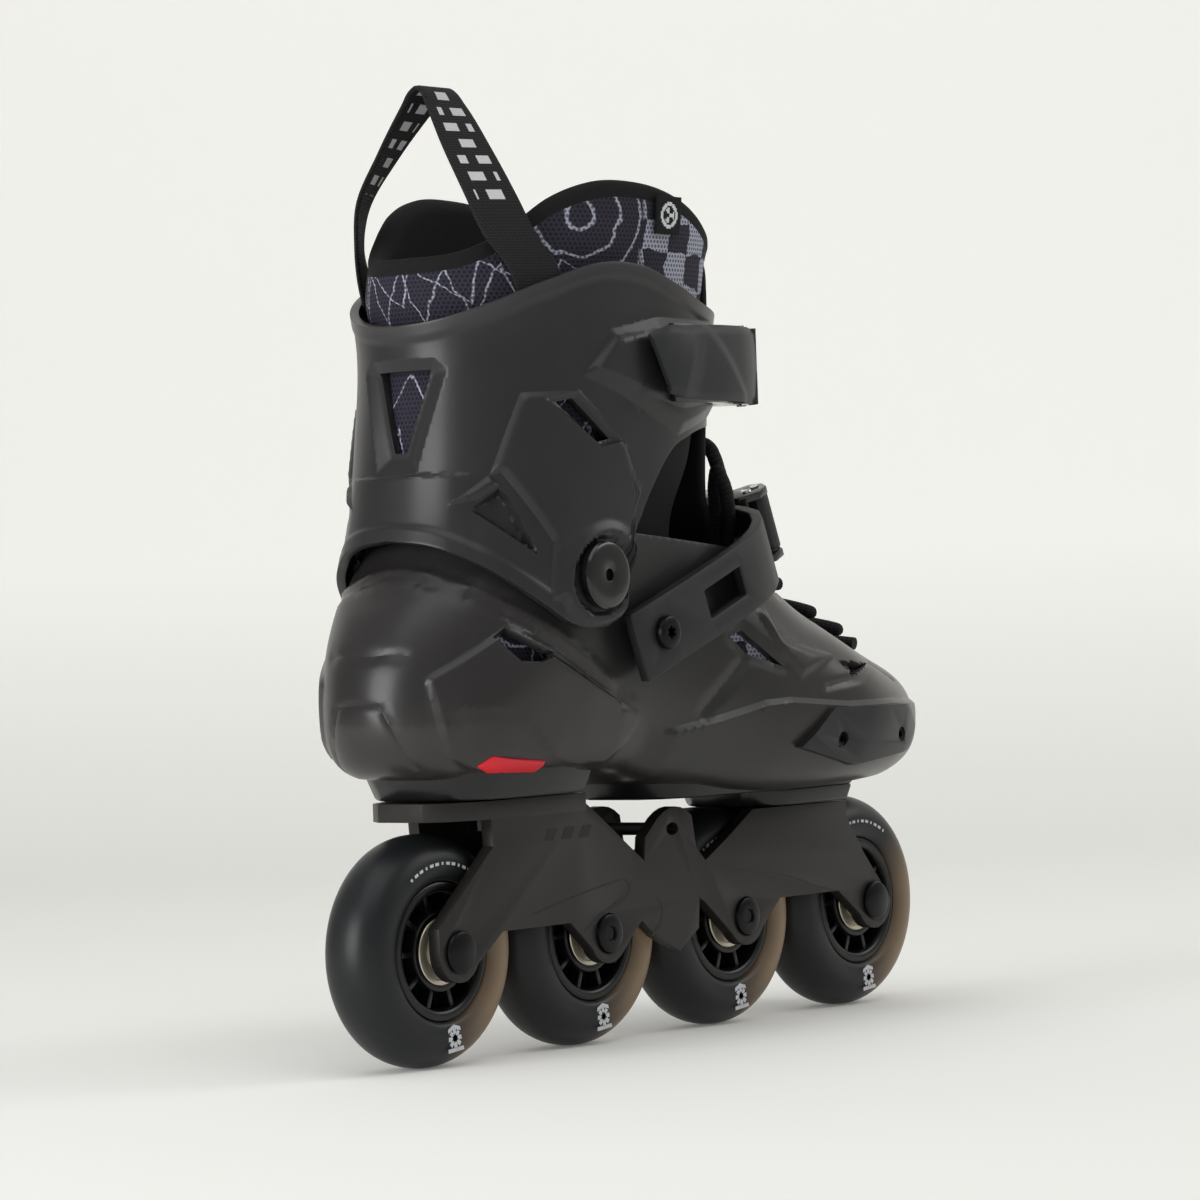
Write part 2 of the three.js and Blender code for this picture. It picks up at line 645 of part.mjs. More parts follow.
function pivotBolt(side) {
  const face = 49.6;
  const profile = [
    [0, face],
    [PIVOT_HEAD_R, face],
    [PIVOT_HEAD_R, face - 2.6],
    [PIVOT_BOLT_R, face - 2.6],
    [PIVOT_BOLT_R, NUT_Y - 0.8],
    [0, NUT_Y - 0.8],
  ].map(([r, y]) => [r, side * y]);
  const bolt = solid(turnedY(side === OUTER ? profile : [...profile].reverse(), PIVOT.x, PIVOT.z, 24));
  const socket = new THREE.CylinderGeometry(2.6, 2.6, 3, 6);
  socket.translate(PIVOT.x, side * face, PIVOT.z);
  return cut(bolt, socket);
}

function pivotNut(side) {
  const y = side * NUT_Y;
  const profile = [
    [PIVOT_BOLT_R + 0.2, y - 0.8],
    [7.5, y - 0.8],
    [7.5, y + 0.8],
    [PIVOT_BOLT_R + 0.2, y + 0.8],
    [PIVOT_BOLT_R + 0.2, y - 0.8],
  ];
  return turnedY(profile, PIVOT.x, PIVOT.z, 16);
}

// ---- liner --------------------------------------------------------------------------------------------
const LINER_GAP = 0.6;
const LINER_T = 7;
const LINER_IN_SHELL = SHELL_T + LINER_GAP;
const LINER_IN_CUFF = CUFF_T + 3.2; // leaves room for the pull strap's feet
const FLEX_DEG = 12; // how far the cuff leans forward
const LINER_RELIEF_Y = 33.4; // the liner is dished here over the cuff bolts' nuts
const LINER_SPLIT_Z = 163;
const LINER_SPLIT_GAP = 6;
const ABSORBER_TOP = 102;
const COLLAR_TOP = [
  [-140, 267], [-112, 267], [-100, 271], [-88, 279], [-70, 288], [-44, 289], [-14, 283], [12, 272], [60, 262],
];

function makeLinerFoot() {
  const below = box(-FAR * 2, -56, -FAR, FAR, 0, ABSORBER_TOP + FIT_GAP);
  const floor = box(-FAR * 2, -50, -FAR, FAR, 0, ABSORBER_TOP + FIT_GAP + 6);
  const outside = cut(solid(footForm(LINER_IN_SHELL)), below);
  const inside = cut(solid(footForm(LINER_IN_SHELL + LINER_T)), floor);
  return cut(
    outside.subtract(inside),
    box(-FAR * 2, FAR, -FAR, FAR, LINER_SPLIT_Z, 400),
    instepPrism(INSTEP_RECESS, 36),
    cylinderY(9, -FAR, -LINER_RELIEF_Y, PIVOT.x, PIVOT.z, 16),
    cylinderY(9, LINER_RELIEF_Y, FAR, PIVOT.x, PIVOT.z, 16),
  );
}

function makeLinerCollar() {
  const slope = Math.tan(THREE.MathUtils.degToRad(FLEX_DEG + 2));
  const split = LINER_SPLIT_Z + LINER_SPLIT_GAP;
  const front = 60;
  const outline = polygon([
    [-140, split], [PIVOT.x + 12, split + 3], [front, split + (front - PIVOT.x) * slope],
    ...[...COLLAR_TOP].reverse(),
  ]);
  const collar = solid(legForm(LINER_IN_CUFF, 30)).subtract(solid(legForm(LINER_IN_CUFF + LINER_T, 40)));
  return cut(
    keepInside(collar, prismY(outline, -FAR, FAR)),
    cylinderY(12, -FAR, -LINER_RELIEF_Y, PIVOT.x, PIVOT.z, 16),
    cylinderY(12, LINER_RELIEF_Y, FAR, PIVOT.x, PIVOT.z, 16),
  );
}

function makeFootbed() {
  const top = 92.5;
  const inset = LINER_IN_SHELL + LINER_T + FIT_GAP;
  return keepInside(solid(footForm(inset)), box(-45, 118, -FAR, FAR, 80, top + 6));
}

function makeAbsorber() {
  return keepInside(
    solid(footForm(SHELL_T + FIT_GAP)),
    box(-FAR * 2, -58, -FAR, FAR, 80, ABSORBER_TOP),
  );
}

// ---- straps and buckles -------------------------------------------------------------------------------
const STRAP_T = 2;
const CUFF_STRAP_WIDTH = 20;
const CUFF_BUCKLE_Z = 228;
const INSTEP_TILT = THREE.MathUtils.degToRad(21);
const INSTEP_ORIGIN = new THREE.Vector3(-42, 0, 138.5); // in line with the strap screws
const INSTEP_A = new THREE.Vector3(Math.cos(INSTEP_TILT), 0, Math.sin(INSTEP_TILT));
const INSTEP_STRAP_WIDTH = 24;
const BUCKLE_PIN_R = 1.6;
const BUCKLE_PIN_CLEARANCE = 0.12;
const KNUCKLE_R = 3.6;
const EAR_T = 2.5; // the buckle's two ears, above and below the lever's knuckle
const EAR_GAP = 0.5;

const instepBand = (points, thickness, width) =>
  band(points, thickness, width, INSTEP_ORIGIN, INSTEP_A, AXIS_Y);

// A prism in the tilted plane of the instep strap, from [along, sideways] corners.
function instepPrism(corners, width, shift = 0) {
  const geometry = new THREE.ExtrudeGeometry(polygon(corners), { depth: width, bevelEnabled: false });
  geometry.translate(0, 0, shift - width / 2);
  const C = INSTEP_A.clone().cross(AXIS_Y);
  geometry.applyMatrix4(new THREE.Matrix4().makeBasis(INSTEP_A, AXIS_Y, C));
  geometry.translate(INSTEP_ORIGIN.x, INSTEP_ORIGIN.y, INSTEP_ORIGIN.z);
  return geometry;
}

const OUTER_ANCHOR = [[-14, -47], [30, -48.5], [60, -46.5], [80, -35], [88.5, -16]];
const INNER_STRAP = [[-12, 46], [30, 48], [60, 47], [83, 33], [92.5, 12], [92.5, 0], [90, -7]];
const INSTEP_BODY = [[92, -19], [94.5, -8], [95, 10], [101, 12], [103.5, 5], [102, -11], [96, -13], [94, -22]];
const INSTEP_EAR = [[94, -22], [95, -12], [101, -11], [106, -15], [107, -20], [104, -24], [98, -25]];
const INSTEP_LEVER = [[105.6, -9], [107, 4], [111, 5], [112.5, -4], [111, -10]];
const INSTEP_LEVER_NECK = [[103, -19], [105.6, -8], [111, -9], [109.5, -18], [106, -22]];
const INSTEP_PIN_AT = [103, -19.5];
const INSTEP_RECESS = [[77, -60], [160, -60], [160, 60], [77, 60]]; // kept clear under the instep strap
const INSTEP_BUCKLE_WIDTH = 26;
const INSTEP_LEVER_WIDTH = 28;
const INSTEP_LEVER_SHIFT = -5; // the lever's paddle hangs a little towards the toe

function makeInstepAnchor() {
  const strap = solid(instepBand(smooth(OUTER_ANCHOR, 12), 4, INSTEP_STRAP_WIDTH));
  const hole = instepPrism([[24, -60], [46, -60], [46, -30], [24, -30]], 10);
  return cut(
    strap,
    hole,
    cylinderY(STRAP_SCREW_R + FIT_GAP, -FAR, 0, ANCHOR_SCREW.x, ANCHOR_SCREW.z, 12),
  );
}

function makeInstepLadder() {
  const strap = solid(instepBand(smooth(INNER_STRAP, 16), STRAP_T, 16));
  return cut(
    strap,
    cylinderY(STRAP_SCREW_R + FIT_GAP, 0, FAR, MEDIAL_ANCHOR_SCREW.x, MEDIAL_ANCHOR_SCREW.z, 12),
  );
}

function instepPinCylinder(radius, width) {
  const pin = new THREE.CylinderGeometry(radius, radius, width, 12);
  pin.rotateX(Math.PI / 2);
  pin.translate(INSTEP_PIN_AT[0], INSTEP_PIN_AT[1], 0);
  const C = INSTEP_A.clone().cross(AXIS_Y);
  pin.applyMatrix4(new THREE.Matrix4().makeBasis(INSTEP_A, AXIS_Y, C));
  pin.translate(INSTEP_ORIGIN.x, INSTEP_ORIGIN.y, INSTEP_ORIGIN.z);
  return pin;
}

function makeInstepBuckleBody() {
  const ear = (INSTEP_BUCKLE_WIDTH - EAR_T) / 2;
  const body = join(
    instepPrism(INSTEP_BODY, INSTEP_BUCKLE_WIDTH),
    instepPrism(INSTEP_EAR, EAR_T, ear),
    instepPrism(INSTEP_EAR, EAR_T, -ear),
  );
  return cut(body, instepPinCylinder(BUCKLE_PIN_R + BUCKLE_PIN_CLEARANCE, 60));
}

function makeInstepLever() {
  const between = INSTEP_BUCKLE_WIDTH - 2 * EAR_T - 2 * EAR_GAP;
  const lever = join(
    instepPrism(INSTEP_LEVER, INSTEP_LEVER_WIDTH, INSTEP_LEVER_SHIFT),
    instepPrism(INSTEP_LEVER_NECK, between),
    instepPinCylinder(KNUCKLE_R, between),
  );
  return cut(lever, instepPinCylinder(BUCKLE_PIN_R + BUCKLE_PIN_CLEARANCE, 60));
}

// The cuff's lever buckle sits on the cuff's front outer corner; all its outlines are plans.
const CUFF_BUCKLE_HEIGHT = 26;
const CUFF_BASE = [[-34, -48.6], [-10, -46], [6, -38], [16, -28], [20, -29], [16, -38], [-6, -49.6], [-34, -51]];
const CUFF_EAR = [[8, -40], [16, -28], [22, -30.5], [25, -34], [24.5, -38.5], [20, -40.5], [12, -40.5]];
const CUFF_LEVER = [[-48, -52.6], [-34, -52.4], [-6, -50.8], [10, -44.6], [12, -50], [-4, -54.4], [-46, -55.3]];
const CUFF_LEVER_NECK = [[9, -45], [18, -38.5], [24, -38.5], [22, -43.5], [11.5, -50.2]];
const CUFF_PIN = [21, -36.5];
const CUFF_STRAP_PATH = [[-30, 52], [0, 50], [20, 42], [32, 26], [36, 8], [32.5, -12], [20.5, -30]];

function cuffPin(radius, height) {
  const pin = new THREE.CylinderGeometry(radius, radius, height, 12);
  pin.rotateX(Math.PI / 2);
  pin.translate(CUFF_PIN[0], CUFF_PIN[1], CUFF_BUCKLE_Z);
  return pin;
}

function makeCuffBase() {
  const half = CUFF_BUCKLE_HEIGHT / 2;
  const inside = half - EAR_T;
  const z = CUFF_BUCKLE_Z;
  const base = join(
    prismZ(CUFF_BASE, z - half, z + half),
    prismZ(CUFF_EAR, z + inside, z + half),
    prismZ(CUFF_EAR, z - half, z - inside),
  );
  return cut(
    base,
    box(11, 60, -60, 0, z - inside, z + inside),
    cuffPin(BUCKLE_PIN_R + BUCKLE_PIN_CLEARANCE, 60),
  );
}

function makeCuffLever() {
  const half = CUFF_BUCKLE_HEIGHT / 2;
  const between = half - EAR_T - EAR_GAP;
  const z = CUFF_BUCKLE_Z;
  const lever = join(
    prismZ(CUFF_LEVER, z - half, z + half),
    prismZ(CUFF_LEVER_NECK, z - between, z + between),
    cuffPin(KNUCKLE_R, 2 * between),
  );
  return cut(lever, cuffPin(BUCKLE_PIN_R + BUCKLE_PIN_CLEARANCE, 60));
}

function makeCuffLadder() {
  const origin = new THREE.Vector3(0, 0, CUFF_BUCKLE_Z);
  return band(smooth(CUFF_STRAP_PATH, 18), STRAP_T, CUFF_STRAP_WIDTH, origin, AXIS_X, AXIS_Y);
}

// The lace crosses the instep from flap to flap, from the toe up to the instep strap.
const LACE_R = 2.4;
const LACE_ROUTE = [
  [110, -17, 131], [107, 0, 133], [104, 18, 133], [99, 0, 137], [94, -21, 136.5], [90, 0, 140.5], [86, 21, 139.5],
  [81, 0, 144.5], [77, -22, 143], [73, 0, 148], [69, 22, 147.5], [65, 0, 152.5], [61, -20, 153.5],
];

function makeLace() {
  const route = new THREE.CatmullRomCurve3(LACE_ROUTE.map((p) => new THREE.Vector3(...p)));
  const sides = 8;
  const section = Array.from({ length: sides }, (_, i) => {
    const angle = (i / sides) * Math.PI * 2;
    return [LACE_R * Math.cos(angle), LACE_R * Math.sin(angle)];
  });
  return new THREE.ExtrudeGeometry(polygon(section), { steps: 44, extrudePath: route, bevelEnabled: false });
}

// The pull strap stands up from the liner's two back corners to a fold above the heel.
const PULL_STRAP_SIDE = [
  [-87.6, 36, 256.5, 0.88, 0.47],
  [-96.6, 31.2, 266, 0.8, 0.6],
  [-100, 28.5, 281, 0.85, 0.5],
  [-94, 5, 316, 1, 0],
];
const PULL_STRAP = [
  ...PULL_STRAP_SIDE.map(([x, y, z, wx, wy]) => [x, -y, z, wx, -wy]),
  [-93, 0, 320, 1, 0],
  ...[...PULL_STRAP_SIDE].reverse(),
];

// ---- assembly -----------------------------------------------------------------------------------------
addPiece("frame", makeFrame(), FRAME_METAL);
addPiece("mount_bolt_rear", mountBolt(MOUNT_BOLT_X.rear, REAR_MOUNT_Z), BOLT_STEEL);
addPiece("mount_bolt_front", mountBolt(MOUNT_BOLT_X.front, FRONT_MOUNT_Z), BOLT_STEEL);

["rear", "mid_rear", "mid_front", "front"].forEach((place, i) => {
  const station = new THREE.Group();
  station.position.set(AXLE_X[i], 0, WHEEL_R);
  model.add(station);
  addPiece(`tyre_${place}`, makeTyre(), TYRE_RUBBER, station);
  addPiece(`hub_${place}`, makeHub(), HUB_PLASTIC, station);
  const outerBearing = addPiece(`bearing_outer_${place}`, makeBearing(), BEARING_STEEL, station);
  outerBearing.position.y = -HUB_WIDTH / 2 - 0.1;
  const innerBearing = addPiece(`bearing_inner_${place}`, makeBearing(), BEARING_STEEL, station);
  innerBearing.position.y = HUB_WIDTH / 2 - BEARING_WIDTH + 0.1;
  addPiece(`spacer_${place}`, makeSpacer(), BRIGHT_STEEL, station);
  addPiece(`axle_${place}`, makeAxle(), BOLT_STEEL, station);
  addPiece(`axle_screw_${place}`, makeAxleScrew(), BOLT_STEEL, station);
});

addPiece("shell", makeShell(), SHELL_PLASTIC);
addPiece("shock_absorber", makeAbsorber(), RED_RUBBER);
addPiece("slider_outer", makeSlider(OUTER), STRAP_PLASTIC);
addPiece("slider_inner", makeSlider(INNER), STRAP_PLASTIC);
addPiece("liner_foot", makeLinerFoot(), LINER_MESH);
addPiece("footbed", makeFootbed(), FOOTBED_FOAM);
addPiece("cuff", makeCuff(), SHELL_PLASTIC);
addPiece("cuff_bolt_outer", pivotBolt(OUTER), BUCKLE_PLASTIC);
addPiece("cuff_bolt_inner", pivotBolt(INNER), BUCKLE_PLASTIC);
addPiece("cuff_nut_outer", pivotNut(OUTER), BRIGHT_STEEL);
addPiece("cuff_nut_inner", pivotNut(INNER), BRIGHT_STEEL);
addPiece("liner_collar", makeLinerCollar(), LINER_MESH);

addPiece("pull_strap", ribbon(PULL_STRAP, 18, 1.6), WEBBING);

addPiece("cuff_ladder_strap", makeCuffLadder(), STRAP_PLASTIC);
addPiece("cuff_buckle_base", makeCuffBase(), BUCKLE_PLASTIC);
addPiece("cuff_buckle_lever", makeCuffLever(), STRAP_PLASTIC);
addPiece("cuff_buckle_pin", cuffPin(BUCKLE_PIN_R, CUFF_BUCKLE_HEIGHT + 1), BRIGHT_STEEL);
addPiece("lace", makeLace(), WEBBING);
addPiece("instep_strap_outer", makeInstepAnchor(), STRAP_PLASTIC);
addPiece("instep_strap_screw_outer", strapScrew(OUTER, 51.6), BOLT_STEEL);
addPiece("instep_ladder_strap", makeInstepLadder(), STRAP_PLASTIC);
addPiece("instep_strap_screw_inner", strapScrew(INNER, 49.6), BOLT_STEEL);
addPiece("instep_buckle_body", makeInstepBuckleBody(), BUCKLE_PLASTIC);
addPiece("instep_buckle_lever", makeInstepLever(), STRAP_PLASTIC);
addPiece("instep_buckle_pin", instepPinCylinder(BUCKLE_PIN_R, INSTEP_BUCKLE_WIDTH + 1), BRIGHT_STEEL);

export default model;
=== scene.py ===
# %% [markdown]
# # An inline skate, finished in Blender
# The skate's sizes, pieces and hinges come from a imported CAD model, which this script loads as a fixed frame.
# What is made here is what the eye reads: moulded plastic with pressed-in lines, printed mesh, webbing, cast
# urethane and anodised metal. Each step makes one piece or one finish, and prints what it made.

# %% Load the frame
import json
import math

import bmesh
import bpy
import numpy as np
from mathutils import Matrix, Vector
from mathutils.bvhtree import BVHTree


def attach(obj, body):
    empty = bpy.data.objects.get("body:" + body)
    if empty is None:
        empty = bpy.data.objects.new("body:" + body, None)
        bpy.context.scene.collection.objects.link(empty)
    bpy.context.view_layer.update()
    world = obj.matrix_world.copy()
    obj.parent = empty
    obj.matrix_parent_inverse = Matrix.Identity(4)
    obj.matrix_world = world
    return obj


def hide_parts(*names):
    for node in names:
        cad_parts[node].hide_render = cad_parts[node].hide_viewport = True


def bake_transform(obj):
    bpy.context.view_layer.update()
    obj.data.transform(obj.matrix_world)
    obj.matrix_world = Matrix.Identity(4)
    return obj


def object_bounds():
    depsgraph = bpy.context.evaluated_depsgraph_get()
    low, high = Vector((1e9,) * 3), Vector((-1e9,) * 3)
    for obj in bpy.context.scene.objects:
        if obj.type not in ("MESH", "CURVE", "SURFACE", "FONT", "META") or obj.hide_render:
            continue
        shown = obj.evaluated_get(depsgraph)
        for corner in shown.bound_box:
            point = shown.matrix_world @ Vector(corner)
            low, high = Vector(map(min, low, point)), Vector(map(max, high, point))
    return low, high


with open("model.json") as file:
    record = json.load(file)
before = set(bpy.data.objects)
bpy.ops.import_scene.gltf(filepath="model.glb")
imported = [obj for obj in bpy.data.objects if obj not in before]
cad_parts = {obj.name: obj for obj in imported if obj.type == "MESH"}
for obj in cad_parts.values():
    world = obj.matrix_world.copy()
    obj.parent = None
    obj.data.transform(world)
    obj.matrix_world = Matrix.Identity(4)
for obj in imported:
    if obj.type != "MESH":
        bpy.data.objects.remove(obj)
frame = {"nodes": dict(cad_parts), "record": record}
nodes = frame["nodes"]
scene = bpy.context.scene
cad_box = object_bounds()
print("frame box", [round(x, 4) for corner in cad_box for x in corner])

# %% [markdown]
# ## Camera, floor and light
# The skate stands side-on and a little turned away, seen level from behind its outer side by a long lens, so
# there is hardly any perspective. The camera is made first, because its frame decides how finely each piece
# has to be finished. A long lens and a far camera keep the upright boot free of leaning lines.

# %% Camera
MM = 0.001
CAMERA_AT = Vector((-1240.5, -983.5, 149.4)) * MM
YAW, PITCH, ROLL = (math.radians(a) for a in (51.26, 0.02, -2.02))
LENS_MM = 137.8
SENSOR_MM = 36


def camera_axes(yaw, pitch, roll):
    """Right, up and backward axes of a camera that looks along its yaw and pitch."""
    look = Vector((math.sin(yaw) * math.cos(pitch), math.cos(yaw) * math.cos(pitch), math.sin(pitch)))
    level = Vector((math.cos(yaw), -math.sin(yaw), 0))
    tall = level.cross(look)
    right = level * math.cos(roll) + tall * math.sin(roll)
    up = tall * math.cos(roll) - level * math.sin(roll)
    return right, up, -look


lens = bpy.data.cameras.new("camera")
lens.lens = LENS_MM
lens.sensor_width = SENSOR_MM
lens.clip_start, lens.clip_end = 0.05, 50
camera = bpy.data.objects.new("camera", lens)
scene.collection.objects.link(camera)
turn = Matrix(camera_axes(YAW, PITCH, ROLL)).transposed()
camera.matrix_world = Matrix.Translation(CAMERA_AT) @ turn.to_4x4()
scene.camera = camera
print("camera looks", [round(x, 3) for x in -turn.col[2]])

# %% [markdown]
# ## Shader arithmetic
# A finish is a small tree of nodes. Written as sums and products it stays readable, so one class wraps an
# output socket and turns Python's operators into Math nodes, and one method makes any other node.

# %% Shader helpers


def maths(operation, swapped=False):
    """A method that adds a Math node for one operation on a value."""
    def method(value, *others):
        inputs = (*others, value) if swapped else (value, *others)
        return value.finish.node("Math", dict(operation=operation), *inputs)
    return method


class Value:
    """A number or colour that varies over a surface: the output socket of a node."""

    def __init__(self, finish, socket):
        self.finish = finish
        self.socket = socket

    __add__ = __radd__ = maths("ADD")
    __sub__, __rsub__ = maths("SUBTRACT"), maths("SUBTRACT", swapped=True)
    __mul__ = __rmul__ = maths("MULTIPLY")
    __truediv__ = maths("DIVIDE")
    absolute, fraction, floor, sine = maths("ABSOLUTE"), maths("FRACT"), maths("FLOOR"), maths("SINE")
    power, most, beyond = maths("POWER"), maths("MAXIMUM"), maths("GREATER_THAN")

    def clamp(self):
        return self.finish.node("Math", dict(operation="ADD", use_clamp=True), self, 0)

    def above(self, level, softness=0):
        """0 below the level and 1 above it, with a ramp of the given width."""
        if not softness:
            return self.beyond(level)
        return ((self - (level - softness / 2)) / softness).clamp()


class Finish:
    """A material, and the one method that adds nodes to it."""

    def __init__(self, name, **constants):
        self.material = bpy.data.materials.new(name)
        self.material.use_nodes = True
        self.tree = self.material.node_tree
        self.shader = self.tree.nodes["Principled BSDF"]
        for socket, value in constants.items():
            self.shader.inputs[socket.replace("_", " ")].default_value = value

    def node(self, kind, settings=None, *values, output=0, **named):
        """Adds a node. Settings come first, then its sockets in order, then its sockets by name."""
        made = self.tree.nodes.new("ShaderNode" + kind)
        for key, value in (settings or {}).items():
            setattr(made, key, value)
        pairs = list(zip(made.inputs, values))
        pairs += [(made.inputs[k.replace("_", " ")], v) for k, v in named.items()]
        for socket, value in pairs:
            self.feed(socket, value)
        return Value(self, made.outputs[output])

    def feed(self, socket, value):
        if isinstance(value, Value):
            self.tree.links.new(value.socket, socket)
        elif value is not None:
            socket.default_value = value

    def place(self, scale=1, offset=(0, 0, 0), turned=(0, 0, 0)):
        """Object coordinates, in millimetres divided by scale."""
        size = 1000 / scale
        where = self.node("TexCoord", output="Object")
        return self.node("Mapping", None, where, offset, turned, (size, size, size))

    def axes(self, vector):
        split = self.tree.nodes.new("ShaderNodeSeparateXYZ")
        self.feed(split.inputs[0], vector)
        return [Value(self, out) for out in split.outputs]

    def attribute(self, name, output="Fac"):
        return self.node("Attribute", dict(attribute_name=name), output=output)

    def noise(self, vector, scale=1.0, detail=4.0, roughness=0.55, output=0):
        return self.node("TexNoise", None, output=output, Vector=vector, Scale=scale, Detail=detail,
                         Roughness=roughness)

    def mix(self, share, first, second):
        made = self.tree.nodes.new("ShaderNodeMix")
        made.data_type = "RGBA"
        self.feed(made.inputs[0], share)
        self.feed(made.inputs[6], first)
        self.feed(made.inputs[7], second)
        return Value(self, made.outputs[2])

    def set(self, **links):
        for socket, value in links.items():
            self.feed(self.shader.inputs[socket.replace("_", " ")], value)

    def bump(self, height, distance, strength=1.0):
        """Height is a number over the surface and distance its size in millimetres."""
        normal = self.node("Bump", None, Strength=strength, Distance=distance * MM, Height=height)
        self.set(Normal=normal)
        return self


def rgb(red, green, blue):
    """A colour given as it looks on a screen, 0 to 255, as the linear values that shaders use."""
    def linear(c):
        c /= 255
        return c / 12.92 if c <= 0.04045 else ((c + 0.055) / 1.055) ** 2.4
    return (linear(red), linear(green), linear(blue), 1)


# %% [markdown]
# The floor sweeps up into a wall, both near-white and softly lit from within. One broad lamp hangs
# overhead, a low one at the left draws the rims and the heel, and a weak one opens the shadows on the
# right.

# %% Floor, backdrop and lights
BACKDROP = Finish("backdrop", Base_Color=rgb(238, 238, 235), Roughness=0.9, Specular_IOR_Level=0.1)
grain = BACKDROP.noise(BACKDROP.place(600), 1, 2)
BACKDROP.set(Base_Color=BACKDROP.mix(grain, rgb(236, 236, 233), rgb(238, 238, 235)))
_, _, height = BACKDROP.axes(BACKDROP.place(1000))
# Painted light: the backdrop glows by itself, more weakly on the floor and low cove than up the wall.
BACKDROP.set(Emission_Color=BACKDROP.mix(height.above(0.09, 0.18), rgb(86, 86, 85), rgb(143, 142, 139)))
BACKDROP.shader.inputs["Emission Strength"].default_value = 1.0

FLOOR_HALF = 3.0
WALL_AT = 1.9
COVE_RADIUS = 0.9
WALL_HEIGHT = 2.6


def make_backdrop():
    """A floor that sweeps up into a wall behind the object, square to the camera."""
    bm = bmesh.new()
    edge = [Vector((-FLOOR_HALF, -FLOOR_HALF, 0)), Vector((FLOOR_HALF, -FLOOR_HALF, 0))]
    first = [bm.verts.new(p) for p in edge]
    strip = [bm.edges.new(first)]
    steps = [(0, WALL_AT + FLOOR_HALF - COVE_RADIUS, 0)]
    turns = 12
    for i in range(turns):
        a, b = (math.radians(90 * k / turns) for k in (i, i + 1))
        steps.append((0, COVE_RADIUS * (math.sin(b) - math.sin(a)),
                      COVE_RADIUS * (math.cos(a) - math.cos(b))))
    steps.append((0, 0, WALL_HEIGHT))
    for step in steps:
        made = bmesh.ops.extrude_edge_only(bm, edges=strip)["geom"]
        bmesh.ops.translate(bm, verts=[v for v in made if isinstance(v, bmesh.types.BMVert)], vec=step)
        strip = [e for e in made if isinstance(e, bmesh.types.BMEdge)]
    bmesh.ops.rotate(bm, verts=bm.verts, matrix=Matrix.Rotation(-YAW, 3, "Z"))
    bmesh.ops.recalc_face_normals(bm, faces=bm.faces)
    mesh = bpy.data.meshes.new("backdrop")
    bm.to_mesh(mesh)
    bm.free()
    mesh.polygons.foreach_set("use_smooth", [True] * len(mesh.polygons))
    made = bpy.data.objects.new("backdrop", mesh)
    mesh.materials.append(BACKDROP.material)
    scene.collection.objects.link(made)


make_backdrop()


def add_light(name, toward, distance, size, watts):
    """A square soft light. toward is where it stands, as (azimuth from the camera, elevation), in degrees."""
    azimuth, elevation = (math.radians(a) for a in toward)
    angle = YAW + math.pi + azimuth
    way = Vector((math.sin(angle) * math.cos(elevation), math.cos(angle) * math.cos(elevation),
                  math.sin(elevation)))
    lamp = bpy.data.lights.new(name, "AREA")
    lamp.shape = "SQUARE"
    lamp.size = size
    lamp.energy = watts
    made = bpy.data.objects.new(name, lamp)
    centre = (cad_box[0] + cad_box[1]) / 2
    made.location = centre + way * distance
    made.rotation_mode = "QUATERNION"
    made.rotation_quaternion = way.to_track_quat("Z", "Y")
    scene.collection.objects.link(made)


for name, toward, distance, size, watts in (
        ("overhead", (10, 68), 1.6, 1.7, 11), ("from_left", (46, 8), 1.8, 0.9, 18),
        ("from_right", (-100, 30), 1.9, 0.9, 7)):
    add_light(name, toward, distance, size, watts)
world = bpy.data.worlds.new("studio")
world.use_nodes = True
world.node_tree.nodes["Background"].inputs["Color"].default_value = rgb(250, 250, 246)
world.node_tree.nodes["Background"].inputs["Strength"].default_value = 0.33
scene.world = world
scene.view_settings.view_transform = "Standard"

# %% [markdown]
# ## Making and keeping a piece
# All shaping below is in millimetres, and each finished piece is scaled to metres once, here, so that its
# object stays at the origin, unturned and unscaled. Walls and rounded edges come from modifiers, which are
# applied, so that the sharp edges can be marked on the final mesh.

# %% Piece helpers

def keep(bm, name, finish, body, replaces=(), wall=0, edge=0, edge_angle=35, sharp=40, lining=0):
    """Turns a bmesh in millimetres into a finished piece. finish may be a list, one for each material index,
    and lining is how many places further down that list the inner face of a wall finds its finish."""
    mesh = bpy.data.meshes.new(name)
    bm.to_mesh(mesh)
    bm.free()
    mesh.transform(Matrix.Scale(MM, 4))
    piece = bpy.data.objects.new(name, mesh)
    scene.collection.objects.link(piece)
    for one in finish if isinstance(finish, list) else [finish]:
        mesh.materials.append(one.material)
    if wall:
        solid = piece.modifiers.new("wall", "SOLIDIFY")
        solid.thickness = wall * MM
        solid.offset = -1
        solid.use_even_offset = False
        solid.material_offset = lining
    if edge:
        bevel = piece.modifiers.new("edge", "BEVEL")
        bevel.width = edge * MM
        bevel.segments = 2
        bevel.limit_method = "ANGLE"
        bevel.angle_limit = math.radians(edge_angle)
        bevel.use_clamp_overlap = True
    if wall or edge:
        bpy.context.view_layer.update()
        final = bpy.data.meshes.new_from_object(piece.evaluated_get(bpy.context.evaluated_depsgraph_get()))
        piece.modifiers.clear()
        piece.data = final
        mesh = final
    mesh.polygons.foreach_set("use_smooth", [True] * len(mesh.polygons))
    mesh.set_sharp_from_angle(angle=math.radians(sharp))
    if body:
        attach(piece, body)
    if replaces:
        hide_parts(*replaces)
    return piece


